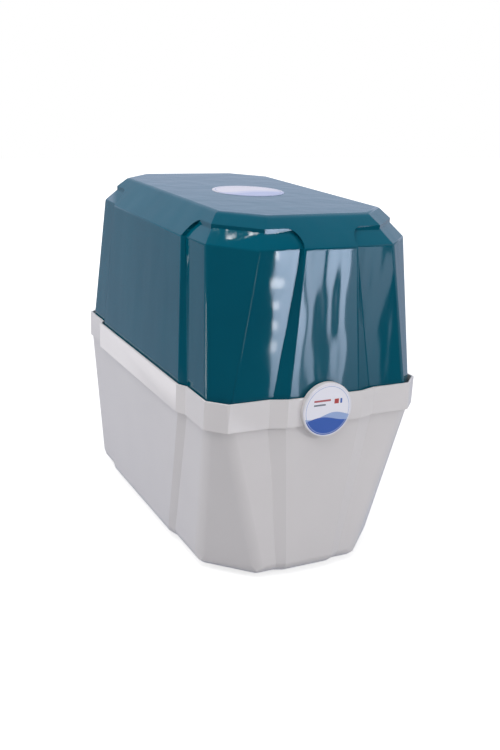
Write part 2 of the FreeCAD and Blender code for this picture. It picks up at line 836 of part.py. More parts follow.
def make_ball_valve():
    """The tank's ball valve: a hexagonal body, a side outlet and a hole for the lever's stem."""
    low = tank_top + neck_boss_height + neck_nut_height
    axis_z = low + ball_valve_pivot_rise
    foot = Vector(0, tank_y, low)
    outlet = Vector(0, tank_y, product_z)
    radius = ball_valve_radius
    body = flat_sided(foot, foot + upward * ball_valve_height, radius, fitting_sides)
    body = body.fuse(flat_sided(outlet + toward_back * radius, outlet + toward_back * ball_valve_outlet,
                                fitting_radius, fitting_sides))
    return body.cut(rod(Vector(radius - lever_stem - lever_gap, tank_y, axis_z),
                        Vector(radius + lever_stem, tank_y, axis_z), lever_pivot_radius + lever_gap))


def make_lever():
    """The ball valve's lever: a stem in the body and a handle that points up when open."""
    low = tank_top + neck_boss_height + neck_nut_height
    pivot = Vector(0, tank_y, low + ball_valve_pivot_rise)
    face = ball_valve_radius + lever_gap
    half = 0.5 * lever_width
    tip = 0.5 * half
    stem = rod(pivot + toward_right * (ball_valve_radius - lever_stem), pivot + toward_right * face,
               lever_pivot_radius)
    outline = [(-half, -half), (half, -half), (half, lever_length - half), (tip, lever_length),
               (-tip, lever_length), (-half, lever_length - half)]
    corners = [pivot + Vector(face, y, z) for y, z in outline]
    handle = Part.Face(Part.makePolygon(corners + corners[:1])).extrude(toward_right * lever_thickness)
    return handle.fuse(stem)


def union(place):
    """A bulkhead union: a hexagonal head outside, a barrel inside, bored for the collet."""
    head_end = place + toward_back * union_flange_thickness
    body = rod(place - toward_back * union_inner_length, place, union_barrel_radius)
    body = body.fuse(flat_sided(place, head_end, union_flange_radius, hexagon_sides))
    return body.cut(rod(head_end - toward_back * union_collet_bore, head_end + toward_back * collet_travel,
                        collet_radius + collet_gap))


def union_nut(place):
    seat = place - toward_back * union_boss_depth
    end = seat - toward_back * union_nut_height
    nut = flat_sided(seat, end, union_flange_radius, hexagon_sides)
    return nut.cut(rod(seat + toward_back, end + toward_front, union_barrel_radius + union_hole_gap))


def collet(place):
    """The release collet in a union's mouth, pressed in to free the tube."""
    mouth = place + toward_back * union_flange_thickness
    flange_start = mouth + toward_back * (collet_travel + collet_gap)
    end = flange_start + toward_back * collet_flange_thickness
    start = end - toward_back * collet_length
    flat_radius = collet_radius * math.cos(math.pi / collet_sides)
    body = flat_sided(start, end, flat_radius, collet_sides)
    body = body.fuse(flat_sided(flange_start, end, collet_flange_radius, collet_sides))
    return body.cut(rod(start + toward_front, end + toward_back, collet_bore))


def on_plane(point, direction, corner, normal):
    """Where the line through a point along a direction meets a plane."""
    return point + direction * ((corner - point).dot(normal) / direction.dot(normal))


def tube(points):
    """A tube with narrow flats along straight runs; each bend follows its arc in short steps."""
    path = [points[0]]
    for before, corner, after in zip(points, points[1:], points[2:]):
        inward = (before - corner).normalize()
        outward = (after - corner).normalize()
        half = 0.5 * inward.getAngle(outward)
        shortest = min((corner - before).Length, (after - corner).Length)
        radius = min(tube_bend, tube_bend_share * shortest * math.tan(half))
        bisector = (inward + outward).normalize()
        centre = corner + bisector * (radius / math.sin(half))
        turn = math.pi - 2.0 * half
        side = (corner + inward * (radius / math.tan(half)) - centre).normalize()
        for step in range(tube_bend_steps + 1):
            angle = turn * step / tube_bend_steps
            path.append(centre + (side * math.cos(angle) - inward * math.sin(angle)) * radius)
    path.append(points[-1])
    directions = [(end - start).normalize() for start, end in zip(path, path[1:])]
    first = toward_right if abs(directions[0].x) < 0.5 else upward
    second = directions[0].cross(first)
    corner_radius = tube_radius / math.cos(math.pi / tube_sides)
    row = []
    for number in range(tube_sides):
        angle = math.pi * (2 * number + 1) / tube_sides
        row.append(path[0] + first * (corner_radius * math.cos(angle))
                   + second * (corner_radius * math.sin(angle)))
    rows = [row]
    for number, direction in enumerate(directions):
        following = directions[min(number + 1, len(directions) - 1)]
        normal = (direction + following).normalize()
        rows.append([on_plane(point, direction, path[number + 1], normal) for point in rows[-1]])
    return loft(rows)


# The case
save(make_tub(), "lower_tub")
save(make_cover(), "upper_cover")
save(make_badge(), "badge_disc")
save(make_top_label(), "top_label")
save(make_rubber_feet(), "rubber_feet")

# The tank with its stand and valve
save(make_tank(), "tank_body")
save(make_tank_stand(), "tank_stand")
save(make_air_valve_cap(), "air_valve_cap")
save(make_tank_neck(), "tank_neck")
save(make_ball_valve(), "ball_valve_body")
save(make_lever(), "valve_lever")

# The five filters and the membrane vessel
save(cartridge(left_x, back_row_y), "sediment_filter")
save(cartridge(0, back_row_y), "carbon_filter")
save(cartridge(right_x, back_row_y), "carbon_block_filter")
save(cartridge(0, front_row_y), "polishing_filter")
save(cartridge(left_x, front_row_y), "mineral_filter")
save(make_membrane_housing(), "membrane_housing")
save(make_membrane_cap(), "membrane_cap")

# The rack that holds them
save(make_rack(), "rack_plate")
save(make_clips(), "cartridge_clips")

# Fittings and valves in the water path
restrictor_in = Vector(drain_x, back_row_y - restrictor_lead, low_port_z)
restrictor_out = restrictor_in + toward_back * restrictor_length
check_in = Vector(riser_x, permeate_y, check_valve_bottom)
check_out = check_in + upward * check_valve_length
save(make_elbows(), "push_elbows")
save(make_tank_tee(), "tank_tee")
save(make_shutoff_valve(), "shutoff_valve")
save(line_valve(check_in, upward, check_valve_length, check_valve_radius, check_valve_hexagon), "check_valve")
save(line_valve(restrictor_in, toward_back, restrictor_length, restrictor_radius, restrictor_hexagon),
     "flow_restrictor")
save(Part.makeCompound([union(place) for place in union_places]), "bulkhead_unions")
save(Part.makeCompound([union_nut(place) for place in union_places]), "union_nuts")
save(collet(feed_place), "feed_collet")
save(collet(drain_place), "drain_collet")
save(collet(outlet_place), "outlet_collet")

# Tubes from one fitting to the next: the raw water and drain side
shutoff_reach = shutoff_half_width + shutoff_port
shutoff_feed = Vector(right_x, rack_y, high_port_z)
shutoff_product = Vector(right_x, rack_y, product_z)
feed_end = feed_place - toward_back * union_inner_length
drain_end = drain_place - toward_back * union_inner_length
outlet_end = outlet_place - toward_back * union_inner_length
reject_start = leg_end(right_x, reject_y, low_port_z, toward_back)
save(tube([leg_end(left_x, back_row_y, low_port_z, toward_back), feed_end]), "feed_tube")
save(Part.makeCompound([
    tube([leg_end(left_x, back_row_y, high_port_z, toward_right),
          leg_end(0, back_row_y, high_port_z, toward_left)]),
    tube([leg_end(0, back_row_y, low_port_z, toward_right),
          leg_end(right_x, back_row_y, low_port_z, toward_left)])]), "prefilter_link_tubes")
save(Part.makeCompound([
    tube([leg_end(right_x, back_row_y, high_port_z, toward_front),
          shutoff_feed + toward_back * shutoff_reach]),
    tube([shutoff_feed + toward_front * shutoff_reach,
          leg_end(right_x, front_row_y, high_port_z, toward_back)])]), "membrane_feed_tubes")
save(Part.makeCompound([
    tube([reject_start, reject_start + toward_back * reject_straight,
          restrictor_in - toward_back * reject_end, restrictor_in]),
    tube([restrictor_out, drain_end])]), "drain_tubes")

# The purified water side
save(Part.makeCompound([
    tube([leg_end(right_x, permeate_y, low_port_z, toward_right),
          Vector(riser_x, permeate_y, low_port_z), check_in]),
    tube([check_out, Vector(riser_x, permeate_y, product_z), Vector(riser_x, rack_y, product_z),
          shutoff_product + toward_right * shutoff_reach])]), "permeate_tubes")
save(tube([shutoff_product + toward_left * shutoff_reach, Vector(0, rack_y, product_z),
           leg_end(0, front_row_y, product_z, toward_back)]), "product_tube")
save(tube([leg_end(0, front_row_y, product_z, toward_front),
           Vector(0, tank_y + ball_valve_outlet, product_z)]), "tank_tube")
save(tube([leg_end(0, front_row_y, low_port_z, toward_left),
           leg_end(left_x, front_row_y, low_port_z, toward_right)]), "polish_link_tube")
save(tube([leg_end(left_x, front_row_y, high_port_z, toward_left),
           Vector(outlet_x, front_row_y, high_port_z), Vector(outlet_x, front_row_y, outlet_height),
           outlet_end]), "outlet_tube")
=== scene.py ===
import math

import bmesh
import bpy
from mathutils import Matrix, Vector


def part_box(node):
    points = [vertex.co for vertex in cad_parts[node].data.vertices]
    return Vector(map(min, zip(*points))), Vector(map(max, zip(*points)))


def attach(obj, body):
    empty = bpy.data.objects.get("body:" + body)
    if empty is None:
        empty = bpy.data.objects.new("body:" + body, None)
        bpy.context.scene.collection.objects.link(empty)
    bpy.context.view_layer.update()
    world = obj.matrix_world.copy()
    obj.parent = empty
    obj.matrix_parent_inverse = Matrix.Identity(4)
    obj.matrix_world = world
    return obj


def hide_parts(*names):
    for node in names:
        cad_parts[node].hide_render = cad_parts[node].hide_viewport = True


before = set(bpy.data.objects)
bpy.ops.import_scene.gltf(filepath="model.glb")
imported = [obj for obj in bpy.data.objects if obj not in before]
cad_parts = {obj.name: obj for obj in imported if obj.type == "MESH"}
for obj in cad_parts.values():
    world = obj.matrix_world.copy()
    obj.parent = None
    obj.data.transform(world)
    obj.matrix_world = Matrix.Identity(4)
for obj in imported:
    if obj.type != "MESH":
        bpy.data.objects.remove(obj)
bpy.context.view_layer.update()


# The camera stands to the front left and looks down on the case. Its place comes from a fit to
# the photograph's edges of the case; a 36 mm high frame gives the lens its focal length.
mm = 0.001
scene = bpy.context.scene
camera_place = Vector((-514.4, -1024.7, 548.7)) * mm
camera_turn = math.radians(27.47)
camera_dip = math.radians(18.16)
camera_roll = math.radians(2.87)
camera_data = bpy.data.cameras.new("camera")
camera_data.sensor_fit = "VERTICAL"
camera_data.sensor_height = 36.0
camera_data.lens = 46.3
ahead = Vector((math.sin(camera_turn) * math.cos(camera_dip),
                math.cos(camera_turn) * math.cos(camera_dip), -math.sin(camera_dip)))
level_right = Vector((math.cos(camera_turn), -math.sin(camera_turn), 0.0))
level_up = level_right.cross(ahead)
camera_right = level_right * math.cos(camera_roll) + level_up * math.sin(camera_roll)
camera_up = level_up * math.cos(camera_roll) - level_right * math.sin(camera_roll)
camera_axes = Matrix((camera_right, camera_up, -ahead)).transposed().to_4x4()
camera = bpy.data.objects.new("camera", camera_data)
camera.matrix_world = Matrix.Translation(camera_place) @ camera_axes
scene.collection.objects.link(camera)
scene.camera = camera
scene.view_settings.view_transform = "Standard"


# The studio is an even white room, seen pure white by the camera and through clear plastic. Gloss
# sees it a little bluer, and darker on the side of the camera, where the room is unlit.
unlit_side = (-0.52, -0.77, 0.36)
unlit_gloss = 0.10
lit_gloss = 0.76
fill_level = 0.56
gloss_colour = "#DAE5FF"


def linear(hex_colour):
    """A linear colour from an sRGB hex value."""
    channels = [int(hex_colour[place:place + 2], 16) / 255.0 for place in (1, 3, 5)]
    return [c / 12.92 if c <= 0.04045 else ((c + 0.055) / 1.055) ** 2.4 for c in channels] + [1.0]


def add(tree, kind, sockets, **settings):
    """A new node with its settings; each socket gets a value or another node's output."""
    node = tree.nodes.new(kind)
    for name, value in settings.items():
        setattr(node, name, value)
    for name, value in sockets.items():
        if isinstance(value, bpy.types.NodeSocket):
            tree.links.new(value, node.inputs[name])
        else:
            node.inputs[name].default_value = value
    return node


def ray_kinds(tree):
    """Masks for rays that come mirrored, and for rays that come straight or through plastic."""
    rays = add(tree, "ShaderNodeLightPath", {})
    straight = add(tree, "ShaderNodeMath", {
        0: rays.outputs["Is Camera Ray"], 1: rays.outputs["Is Transmission Ray"]}, operation="MAXIMUM")
    return rays.outputs["Is Glossy Ray"], straight.outputs[0]


def dimmed(tree, places, side, start, end, lit):
    """How bright the gloss sees a place: lit, and less from start to end towards the unlit side."""
    toward = add(tree, "ShaderNodeVectorMath", {0: places, 1: Vector(side)}, operation="DOT_PRODUCT")
    level = add(tree, "ShaderNodeMapRange", {
        "Value": toward.outputs["Value"], "From Min": start, "From Max": end,
        "To Min": lit, "To Max": unlit_gloss})
    return level.outputs[0]


world = bpy.data.worlds.new("white_room")
scene.world = world
world.use_nodes = True
room = world.node_tree
room.nodes.clear()
mirrored, straight = ray_kinds(room)
direction = add(room, "ShaderNodeTexCoord", {}).outputs["Generated"]
fill = add(room, "ShaderNodeBackground", {"Color": linear("#F4F5FA"), "Strength": fill_level})
gloss_level = dimmed(room, direction, unlit_side, 0.0, 0.35, lit_gloss)
gloss = add(room, "ShaderNodeBackground", {"Color": linear(gloss_colour), "Strength": gloss_level})
white = add(room, "ShaderNodeBackground", {"Color": linear("#FFFFFF"), "Strength": 1.0})
sky = add(room, "ShaderNodeMixShader", {0: mirrored, 1: fill.outputs[0], 2: gloss.outputs[0]})
sky = add(room, "ShaderNodeMixShader", {0: straight, 1: sky.outputs[0], 2: white.outputs[0]})
add(room, "ShaderNodeOutputWorld", {"Surface": sky.outputs[0]})


# Three large soft lamps light the case. Strips, spots and sparks give no shade and are only seen
# mirrored: in the rounded edges, in the cover's front wall and on its shoulder. Those for the
# front and the shoulder shine in narrow beams, so that other views hardly meet them.
case_middle = (0.0, 0.0, 0.2)
front_corner = (-0.1, -0.2, 0.28)
strips_middle = Vector((0.42, -0.86, 0.15))
strips_across = Vector((0.844, 0.537, 0.0))
strips_aim = Vector((-0.573, 0.818, 0.105))
strip_height = 0.48
strip_beam = 28.0
spots_offset = -0.116
sparks_middle = Vector((-0.35, 0.015, 1.32))
sparks_target = Vector((-0.09, -0.17, 0.38))
sparks_across = Vector((0.78, -0.62, 0.0))
sparks_along = (sparks_target - sparks_middle).cross(sparks_across).normalized()
spark_size = 0.009
spark_beam = 12.0


def lamp(name, place, target, width, height, watts, shade=True, colour="#FFFFFF", beam=180.0):
    """A rectangular lamp (m) that faces a point and gives either shade or highlights."""
    data = bpy.data.lights.new(name, "AREA")
    data.shape = "RECTANGLE"
    data.size = width
    data.size_y = height
    data.energy = watts
    data.color = linear(colour)[:3]
    data.spread = math.radians(beam)
    light = bpy.data.objects.new(name, data)
    light.location = place
    light.rotation_euler = (Vector(target) - Vector(place)).to_track_quat("-Z", "Y").to_euler()
    light.visible_camera = False
    light.visible_transmission = False
    light.visible_diffuse = shade
    light.visible_glossy = not shade
    scene.collection.objects.link(light)


lamp("lamp_above", (-0.5, -0.4, 1.9), case_middle, 1.6, 1.6, 22.0)
lamp("lamp_left", (-1.2, 0.75, 0.7), case_middle, 0.6, 0.9, 4.4)
lamp("lamp_right", (1.5, -1.6, 0.9), case_middle, 0.8, 0.6, 12.0)
lamp("strip_left", (-1.3, 0.02, 0.15), front_corner, 0.10, 0.5, 1.6, shade=False)
lamp("strip_behind", (-0.06, -1.87, 0.15), front_corner, 0.10, 0.5, 1.2, shade=False)
for number, (offset, width, watts) in enumerate((
        (-0.095, 0.050, 0.040), (-0.046, 0.032, 0.014), (0.002, 0.028, 0.014),
        (0.036, 0.036, 0.0030), (0.074, 0.037, 0.0034))):
    spot = strips_middle + strips_across * offset
    lamp("strip_front_%d" % number, spot, spot + strips_aim, width, strip_height, watts,
         shade=False, colour="#D6E4FF", beam=strip_beam)
for number, spot_height in enumerate((0.265, 0.215, 0.172, 0.132, 0.097)):
    spot = Vector((strips_middle.x, strips_middle.y, spot_height)) + strips_across * spots_offset
    lamp("spot_front_%d" % number, spot, spot + strips_aim, 0.012, 0.016, 0.0003,
         shade=False, beam=strip_beam)
for number, (across, along) in enumerate((
        (-0.072, 0.005), (-0.046, -0.021), (-0.026, 0.016), (0.0, -0.005),
        (0.019, -0.026), (0.032, 0.013), (0.059, -0.010), (0.075, 0.010))):
    spot = sparks_middle + sparks_across * across + sparks_along * along
    lamp("spark_%d" % number, spot, sparks_target, spark_size, spark_size, 0.00003,
         shade=False, beam=spark_beam)


# The floor is a wide sheet of matt paper that keeps the object's shadow. For the camera it glows
# up to pure white with distance, and for gloss it is as light or as dark as the room above it.
near_glow = 0.72
floor_gloss = 0.59
unlit_floor_side = (-0.3, -0.95, 0.0)


def empty_material(name):
    """A new material and its node tree, with nothing in it yet."""
    material = bpy.data.materials.new(name)
    material.use_nodes = True
    material.node_tree.nodes.clear()
    return material, material.node_tree


floor_form = bmesh.new()
bmesh.ops.create_grid(floor_form, x_segments=1, y_segments=1, size=4.0)
floor_mesh = bpy.data.meshes.new("floor")
floor_form.to_mesh(floor_mesh)
floor = bpy.data.objects.new("floor", floor_mesh)
scene.collection.objects.link(floor)
floor_paper, tree = empty_material("floor_paper")
mirrored, straight = ray_kinds(tree)
place = add(tree, "ShaderNodeTexCoord", {}).outputs["Object"]
distance = add(tree, "ShaderNodeVectorMath", {0: place}, operation="LENGTH")
white_far = add(tree, "ShaderNodeMapRange", {
    "Value": distance.outputs["Value"], "From Min": 0.7, "From Max": 1.8,
    "To Min": near_glow, "To Max": 1.0})
glow = add(tree, "ShaderNodeMath", {0: straight, 1: white_far.outputs[0]}, operation="MULTIPLY")
paper = add(tree, "ShaderNodeBsdfDiffuse", {"Color": linear("#BDBDBD")})
light = add(tree, "ShaderNodeEmission", {"Color": linear("#FFFFFF"), "Strength": glow.outputs[0]})
lit_paper = add(tree, "ShaderNodeAddShader", {0: paper.outputs[0], 1: light.outputs[0]})
gloss_level = dimmed(tree, place, unlit_floor_side, 0.1, 0.7, floor_gloss)
gloss = add(tree, "ShaderNodeEmission", {"Color": linear(gloss_colour), "Strength": gloss_level})
both = add(tree, "ShaderNodeMixShader", {0: mirrored, 1: lit_paper.outputs[0], 2: gloss.outputs[0]})
add(tree, "ShaderNodeOutputMaterial", {"Surface": both.outputs[0]})
floor_mesh.materials.append(floor_paper)


# The feet are moulded pads of matt black rubber with rounded rims. Each is held to the tub's floor
# by a screw in its dished middle.
up = Vector((0.0, 0.0, 1.0))
foot_radius = 10.0
screw_hole = 3.4
cloud_size = 60.0
cloud_shade = 0.05
sharp_from = 40.0


def box_mm(node):
    """A node's lowest and highest corner, in millimetres."""
    low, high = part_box(node)
    return Vector(low) / mm, Vector(high) / mm


def middle_of(node):
    """The middle of a node, in millimetres."""
    low, high = box_mm(node)
    return (low + high) * 0.5


def take_in(form, other):
    """Moves another working mesh into this one."""
    carrier = bpy.data.meshes.new("carrier")
    other.to_mesh(carrier)
    other.free()
    form.from_mesh(carrier)
    bpy.data.meshes.remove(carrier)


def turned(form, profile, place, direction=up, steps=32, angle=360.0, start=0.0):
    """Adds a form turned from pairs of radius and height (mm) about an axis through a place (mm)."""
    lathe = bmesh.new()
    points = [lathe.verts.new((radius * mm, 0.0, height * mm)) for radius, height in profile]
    edges = [lathe.edges.new(pair) for pair in zip(points, points[1:])]
    whole = angle == 360.0
    ends = []
    if not whole:
        edges.append(lathe.edges.new((points[-1], points[0])))
        ends = [lathe.faces.new(points)]
    bmesh.ops.rotate(lathe, verts=lathe.verts, matrix=Matrix.Rotation(math.radians(start), 3, "Z"))
    bmesh.ops.spin(lathe, geom=points + edges + ends, cent=(0.0, 0.0, 0.0), axis=(0.0, 0.0, 1.0),
                   angle=math.radians(angle), steps=steps, use_merge=whole)
    bmesh.ops.remove_doubles(lathe, verts=lathe.verts, dist=0.001 * mm)
    bmesh.ops.recalc_face_normals(lathe, faces=lathe.faces)
    turn = up.rotation_difference(Vector(direction)).to_matrix().to_4x4()
    bmesh.ops.transform(lathe, matrix=Matrix.Translation(Vector(place) * mm) @ turn, verts=lathe.verts)
    take_in(form, lathe)


def piece(name, form, body, slot, material, *nodes):
    """A finished piece: smooth rounds between flat faces, riding on its body in place of its nodes."""
    mesh = bpy.data.meshes.new(name)
    form.to_mesh(mesh)
    form.free()
    mesh.shade_smooth()
    mesh.set_sharp_from_angle(angle=math.radians(sharp_from))
    mesh.materials.append(material)
    made = bpy.data.objects.new(name, mesh)
    scene.collection.objects.link(made)
    even = made.modifiers.new("even_normals", "WEIGHTED_NORMAL")
    even.keep_sharp = True
    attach(made, body)
    if nodes:
        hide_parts(*nodes)


def close_material(tree, colour, pattern, strength, depth, sockets):
    """Ends a material in a surface of this colour, with relief (mm) from a pattern."""
    relief = add(tree, "ShaderNodeBump", {
        "Height": pattern.outputs["Fac"], "Strength": strength, "Distance": depth * mm})
    surface = add(tree, "ShaderNodeBsdfPrincipled", {
        "Base Color": colour, "Normal": relief.outputs[0], **sockets})
    add(tree, "ShaderNodeOutputMaterial", {"Surface": surface.outputs[0]})


def clouded(tree, place, size, detail, first, second):
    """Two linear colours that pass into each other in soft clouds of a size (mm)."""
    cloud = add(tree, "ShaderNodeTexNoise", {"Vector": place, "Scale": 1.0 / (size * mm), "Detail": detail})
    tone = add(tree, "ShaderNodeMix", {0: cloud.outputs["Fac"], 6: first, 7: second}, data_type="RGBA")
    return tone.outputs[2]


def moulded(name, colour, roughness, grain, depth):
    """Moulded plastic: one colour with a faint cloudiness, and the mould's fine grain in the gloss."""
    material, tree = empty_material(name)
    place = add(tree, "ShaderNodeTexCoord", {}).outputs["Object"]
    dark = [channel * (1.0 - cloud_shade) for channel in linear(colour)[:3]] + [1.0]
    tone = clouded(tree, place, cloud_size, 3.0, linear(colour), dark)
    fine = add(tree, "ShaderNodeTexNoise", {"Vector": place, "Scale": 1.0 / (grain * mm), "Detail": 2.0})
    close_material(tree, tone, fine, 0.5, depth, {"Roughness": roughness, "IOR": 1.5})
    return material


rubber = moulded("foot_rubber", "#1B1B1C", 0.8, grain=0.8, depth=0.05)
foot_low, foot_high = box_mm("rubber_feet")
feet = bmesh.new()
for foot_x in (foot_low.x + foot_radius, foot_high.x - foot_radius):
    for foot_y in (foot_low.y + foot_radius, foot_high.y - foot_radius):
        turned(feet, [(0.0, 1.4), (screw_hole, 1.4), (screw_hole + 0.4, 0.0), (foot_radius - 0.9, 0.0),
                      (foot_radius - 0.3, 0.3), (foot_radius, 0.9), (foot_radius, foot_high.z),
                      (0.0, foot_high.z)], (foot_x, foot_y, 0.0))
piece("rubber_pads", feet, "case", "foot_rubber", rubber, "rubber_feet")


# The tub is injection-moulded white ABS, a satin shell in one piece with its rim band and badge
# boss. The uprights of its two front chamfers are drawn wide and soft, the others under the rim
# less so, and the rim band and the inside have small rounds.
corner_weld = 1.9
upright_round = 3.4
front_corner_round = 9.0
tub_edge_round = 0.8
rim_bottom_z = 185.0
floor_round_top = 15.5
long_upright = 165.0
hole_margin = 22.0
union_middles = [Vector((-57.0, 206.5, 30.0)), Vector((75.0, 206.5, 30.0)), Vector((-92.0, 206.5, 120.0))]


def weld(form, points, gap):
    """Merges points nearer than a gap (mm), and joins what then lies flat into clean faces."""
    bmesh.ops.remove_doubles(form, verts=points, dist=gap * mm)
    bmesh.ops.dissolve_limit(form, angle_limit=math.radians(0.3), verts=form.verts, edges=form.edges)


def solid_of(node):
    """A working copy of a part's own solid, its loose triangles joined."""
    form = bmesh.new()
    form.from_mesh(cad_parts[node].data)
    weld(form, form.verts, 0.01)
    return form


def creases(form, least):
    """The edges at which the surface turns by more than an angle in degrees."""
    return [edge for edge in form.edges
            if edge.is_manifold and edge.calc_face_angle() > math.radians(least)]


def round_edges(form, edges, width, steps, clamp=True):
    """Rounds edges off by a width (mm) in some steps."""
    bmesh.ops.bevel(form, geom=edges, affect="EDGES", offset=width * mm, offset_type="OFFSET",
                    segments=steps, profile=0.5, material=-1, clamp_overlap=clamp)


def faces_out(edge):
    """True where both faces beside an edge look away from the middle of the case."""
    return all(face.normal.xy.dot(face.calc_center_median().xy) > 0.0 for face in edge.link_faces)


def height_range(edge):
    """The heights of an edge's lower and upper end, in millimetres."""
    return min(v.co.z for v in edge.verts) / mm, max(v.co.z for v in edge.verts) / mm


def uprights(least):
    """Edges of the walls under the rim that run mostly upwards."""
    found = []
    for edge in creases(tub, least):
        low, high = height_range(edge)
        steep = high - low > 0.35 * edge.calc_length() / mm
        if faces_out(edge) and high < rim_bottom_z + 0.2 and steep:
            found.append(edge)
    return found


def front_corners(least):
    """The long uprights at both sides of the two front chamfers."""
    return [edge for edge in uprights(least) if edge.calc_length() > long_upright * mm
            and all(v.co.y < -140.0 * mm and abs(v.co.x) > 61.0 * mm for v in edge.verts)]


white_abs = moulded("white_abs", "#E2DEDE", 0.3, grain=2.2, depth=0.012)
tub = solid_of("lower_tub")
weld(tub, [v for v in tub.verts if abs(v.co.x) > 60.0 * mm and abs(v.co.y) > 150.0 * mm
           and all((v.co / mm - middle).length > hole_margin for middle in union_middles)], corner_weld)
ends = sorted({v for edge in front_corners(9.0) for v in edge.verts}, key=lambda v: tuple(v.co))
while ends:
    group = [v for v in ends if (v.co - ends[0].co).length < upright_round * mm]
    ends = [v for v in ends if v not in group]
    if len(group) > 1:
        middle = sum((v.co for v in group), Vector()) / len(group)
        bmesh.ops.pointmerge(tub, verts=group, merge_co=middle)
bmesh.ops.dissolve_degenerate(tub, dist=0.01 * mm, edges=tub.edges)
tub.normal_update()
round_edges(tub, front_corners(24.0), front_corner_round, 6, clamp=False)
round_edges(tub, uprights(9.0), upright_round, 4)
small = [edge for edge in creases(tub, 32.0) if height_range(edge)[1] > floor_round_top]
small += [edge for edge in creases(tub, 10.0)
          if height_range(edge)[0] > rim_bottom_z - 0.2 and edge not in small]
round_edges(tub, small, tub_edge_round, 3)
piece("tub_shell", tub, "case", "white_abs", white_abs, "lower_tub")


# The tank stands loose in a ring moulded in black polypropylene, dull and a little grainy. The
# ring's inner edge is cut to the slope of the tank's lower head.
stand_inset = 22.0
stand_wall = 12.0
head_crown = 150.0
head_knuckle = 40.0
tank_pole_low = 20.0
tank_pole_high = 290.0


def crown_depth(radius):
    """How far the domed head has dropped from its pole at a distance from the axis."""
    return head_crown - math.sqrt(head_crown ** 2 - radius ** 2)


def stand_top(inset, gap):
    """A point of the ring's upper edge: its radius, and its height a gap under the tank's head."""
    return stand_radius - inset, tank_pole_low + crown_depth(stand_radius - inset) - gap


black_pp = moulded("black_pp", "#17181A", 0.5, grain=1.0, depth=0.03)
tank_low, tank_high = box_mm("tank_body")
tank_y = middle_of("tank_body").y
tank_radius = (tank_high.x - tank_low.x) * 0.5
stand_radius = tank_radius - stand_inset
stand_foot = box_mm("tank_stand")[0].z
stand = bmesh.new()
turned(stand, [(stand_radius, stand_foot + 1.0), stand_top(0.0, 2.2), stand_top(1.0, 0.8),
               stand_top(4.0, 0.3), stand_top(stand_wall, 0.3), (stand_radius - stand_wall, stand_foot),
               (stand_radius - 1.0, stand_foot), (stand_radius, stand_foot + 1.0)],
       (0.0, tank_y, 0.0), steps=72)
piece("stand_ring", stand, "case", "black_plastic", black_pp, "tank_stand")


# The tank is a shell of two deep-drawn steel halves, welded round the middle and powder coated.
# The coat is thick and even, with the slight orange peel of baked powder.
peel_size = 3.0
head_steps = 8
seam_half = 3.0
seam_rise = 0.9
boss_radius = 17.0
powder_white, tree = empty_material("powder_white")
place = add(tree, "ShaderNodeTexCoord", {}).outputs["Object"]
tone = clouded(tree, place, 90.0, 2.0, linear("#D8DADB"), linear("#CDD0D2"))
peel = add(tree, "ShaderNodeTexNoise", {"Vector": place, "Scale": 1.0 / (peel_size * mm), "Detail": 1.0})
close_material(tree, tone, peel, 0.5, 0.06, {"Roughness": 0.28, "IOR": 1.5})
head = []
lean = math.asin((tank_radius - head_knuckle) / (head_crown - head_knuckle))
for step in range(head_steps + 1):
    angle = lean * step / head_steps
    head.append((head_crown * math.sin(angle), head_crown * (1.0 - math.cos(angle))))
knuckle_drop = head_crown - (head_crown - head_knuckle) * math.cos(lean)
for step in range(1, head_steps + 1):
    angle = lean + (math.pi * 0.5 - lean) * step / head_steps
    head.append((tank_radius - head_knuckle + head_knuckle * math.sin(angle),
                 knuckle_drop - head_knuckle * math.cos(angle)))
seam_z = (tank_pole_low + tank_pole_high) * 0.5
shell_radius = tank_radius - seam_rise
profile = [(radius, tank_pole_low + drop) for radius, drop in head]
profile += [(shell_radius, tank_pole_low + head[-1][1] + 2.0), (shell_radius, seam_z - seam_half),
            (tank_radius, seam_z - seam_half + 1.0), (tank_radius, seam_z + seam_half - 1.0),
            (shell_radius, seam_z + seam_half), (shell_radius, tank_pole_high - head[-1][1] - 2.0)]
profile += [(radius, tank_pole_high - drop) for radius, drop in reversed(head) if radius > boss_radius]
profile += [(boss_radius, tank_pole_high - crown_depth(boss_radius) + 0.6),
            (boss_radius, tank_high.z - 0.8), (boss_radius - 0.8, tank_high.z), (0.0, tank_high.z)]
tank = bmesh.new()
turned(tank, profile, (0.0, tank_y, 0.0), steps=96)
piece("tank_shell", tank, "case", "tank_paint", powder_white, "tank_body")


# The air valve low on the shell hides under a cap moulded in blue polypropylene. The cap screws
# on, and small ribs round it give the fingers a grip.
air_cap_z = 95.0
air_cap_radius = 5.5
grip_ribs = 16


def prism(form, sides, flat_radius, start, end, edge=0.4):
    """Adds a bar with flats between two places (mm), such as a hexagon, its end edges broken."""
    start, end = Vector(start), Vector(end)
    run = end - start
    bar = bmesh.new()
    corner = flat_radius / math.cos(math.pi / sides)
    bmesh.ops.create_cone(bar, cap_ends=True, segments=sides, radius1=corner * mm, radius2=corner * mm,
                          depth=run.length * mm)
    bmesh.ops.rotate(bar, verts=bar.verts, matrix=Matrix.Rotation(math.pi / sides, 3, "Z"))
    round_edges(bar, list(bar.edges), edge, 2)
    turn = up.rotation_difference(run).to_matrix().to_4x4()
    bmesh.ops.transform(bar, matrix=Matrix.Translation((start + end) * 0.5 * mm) @ turn, verts=bar.verts)
    take_in(form, bar)


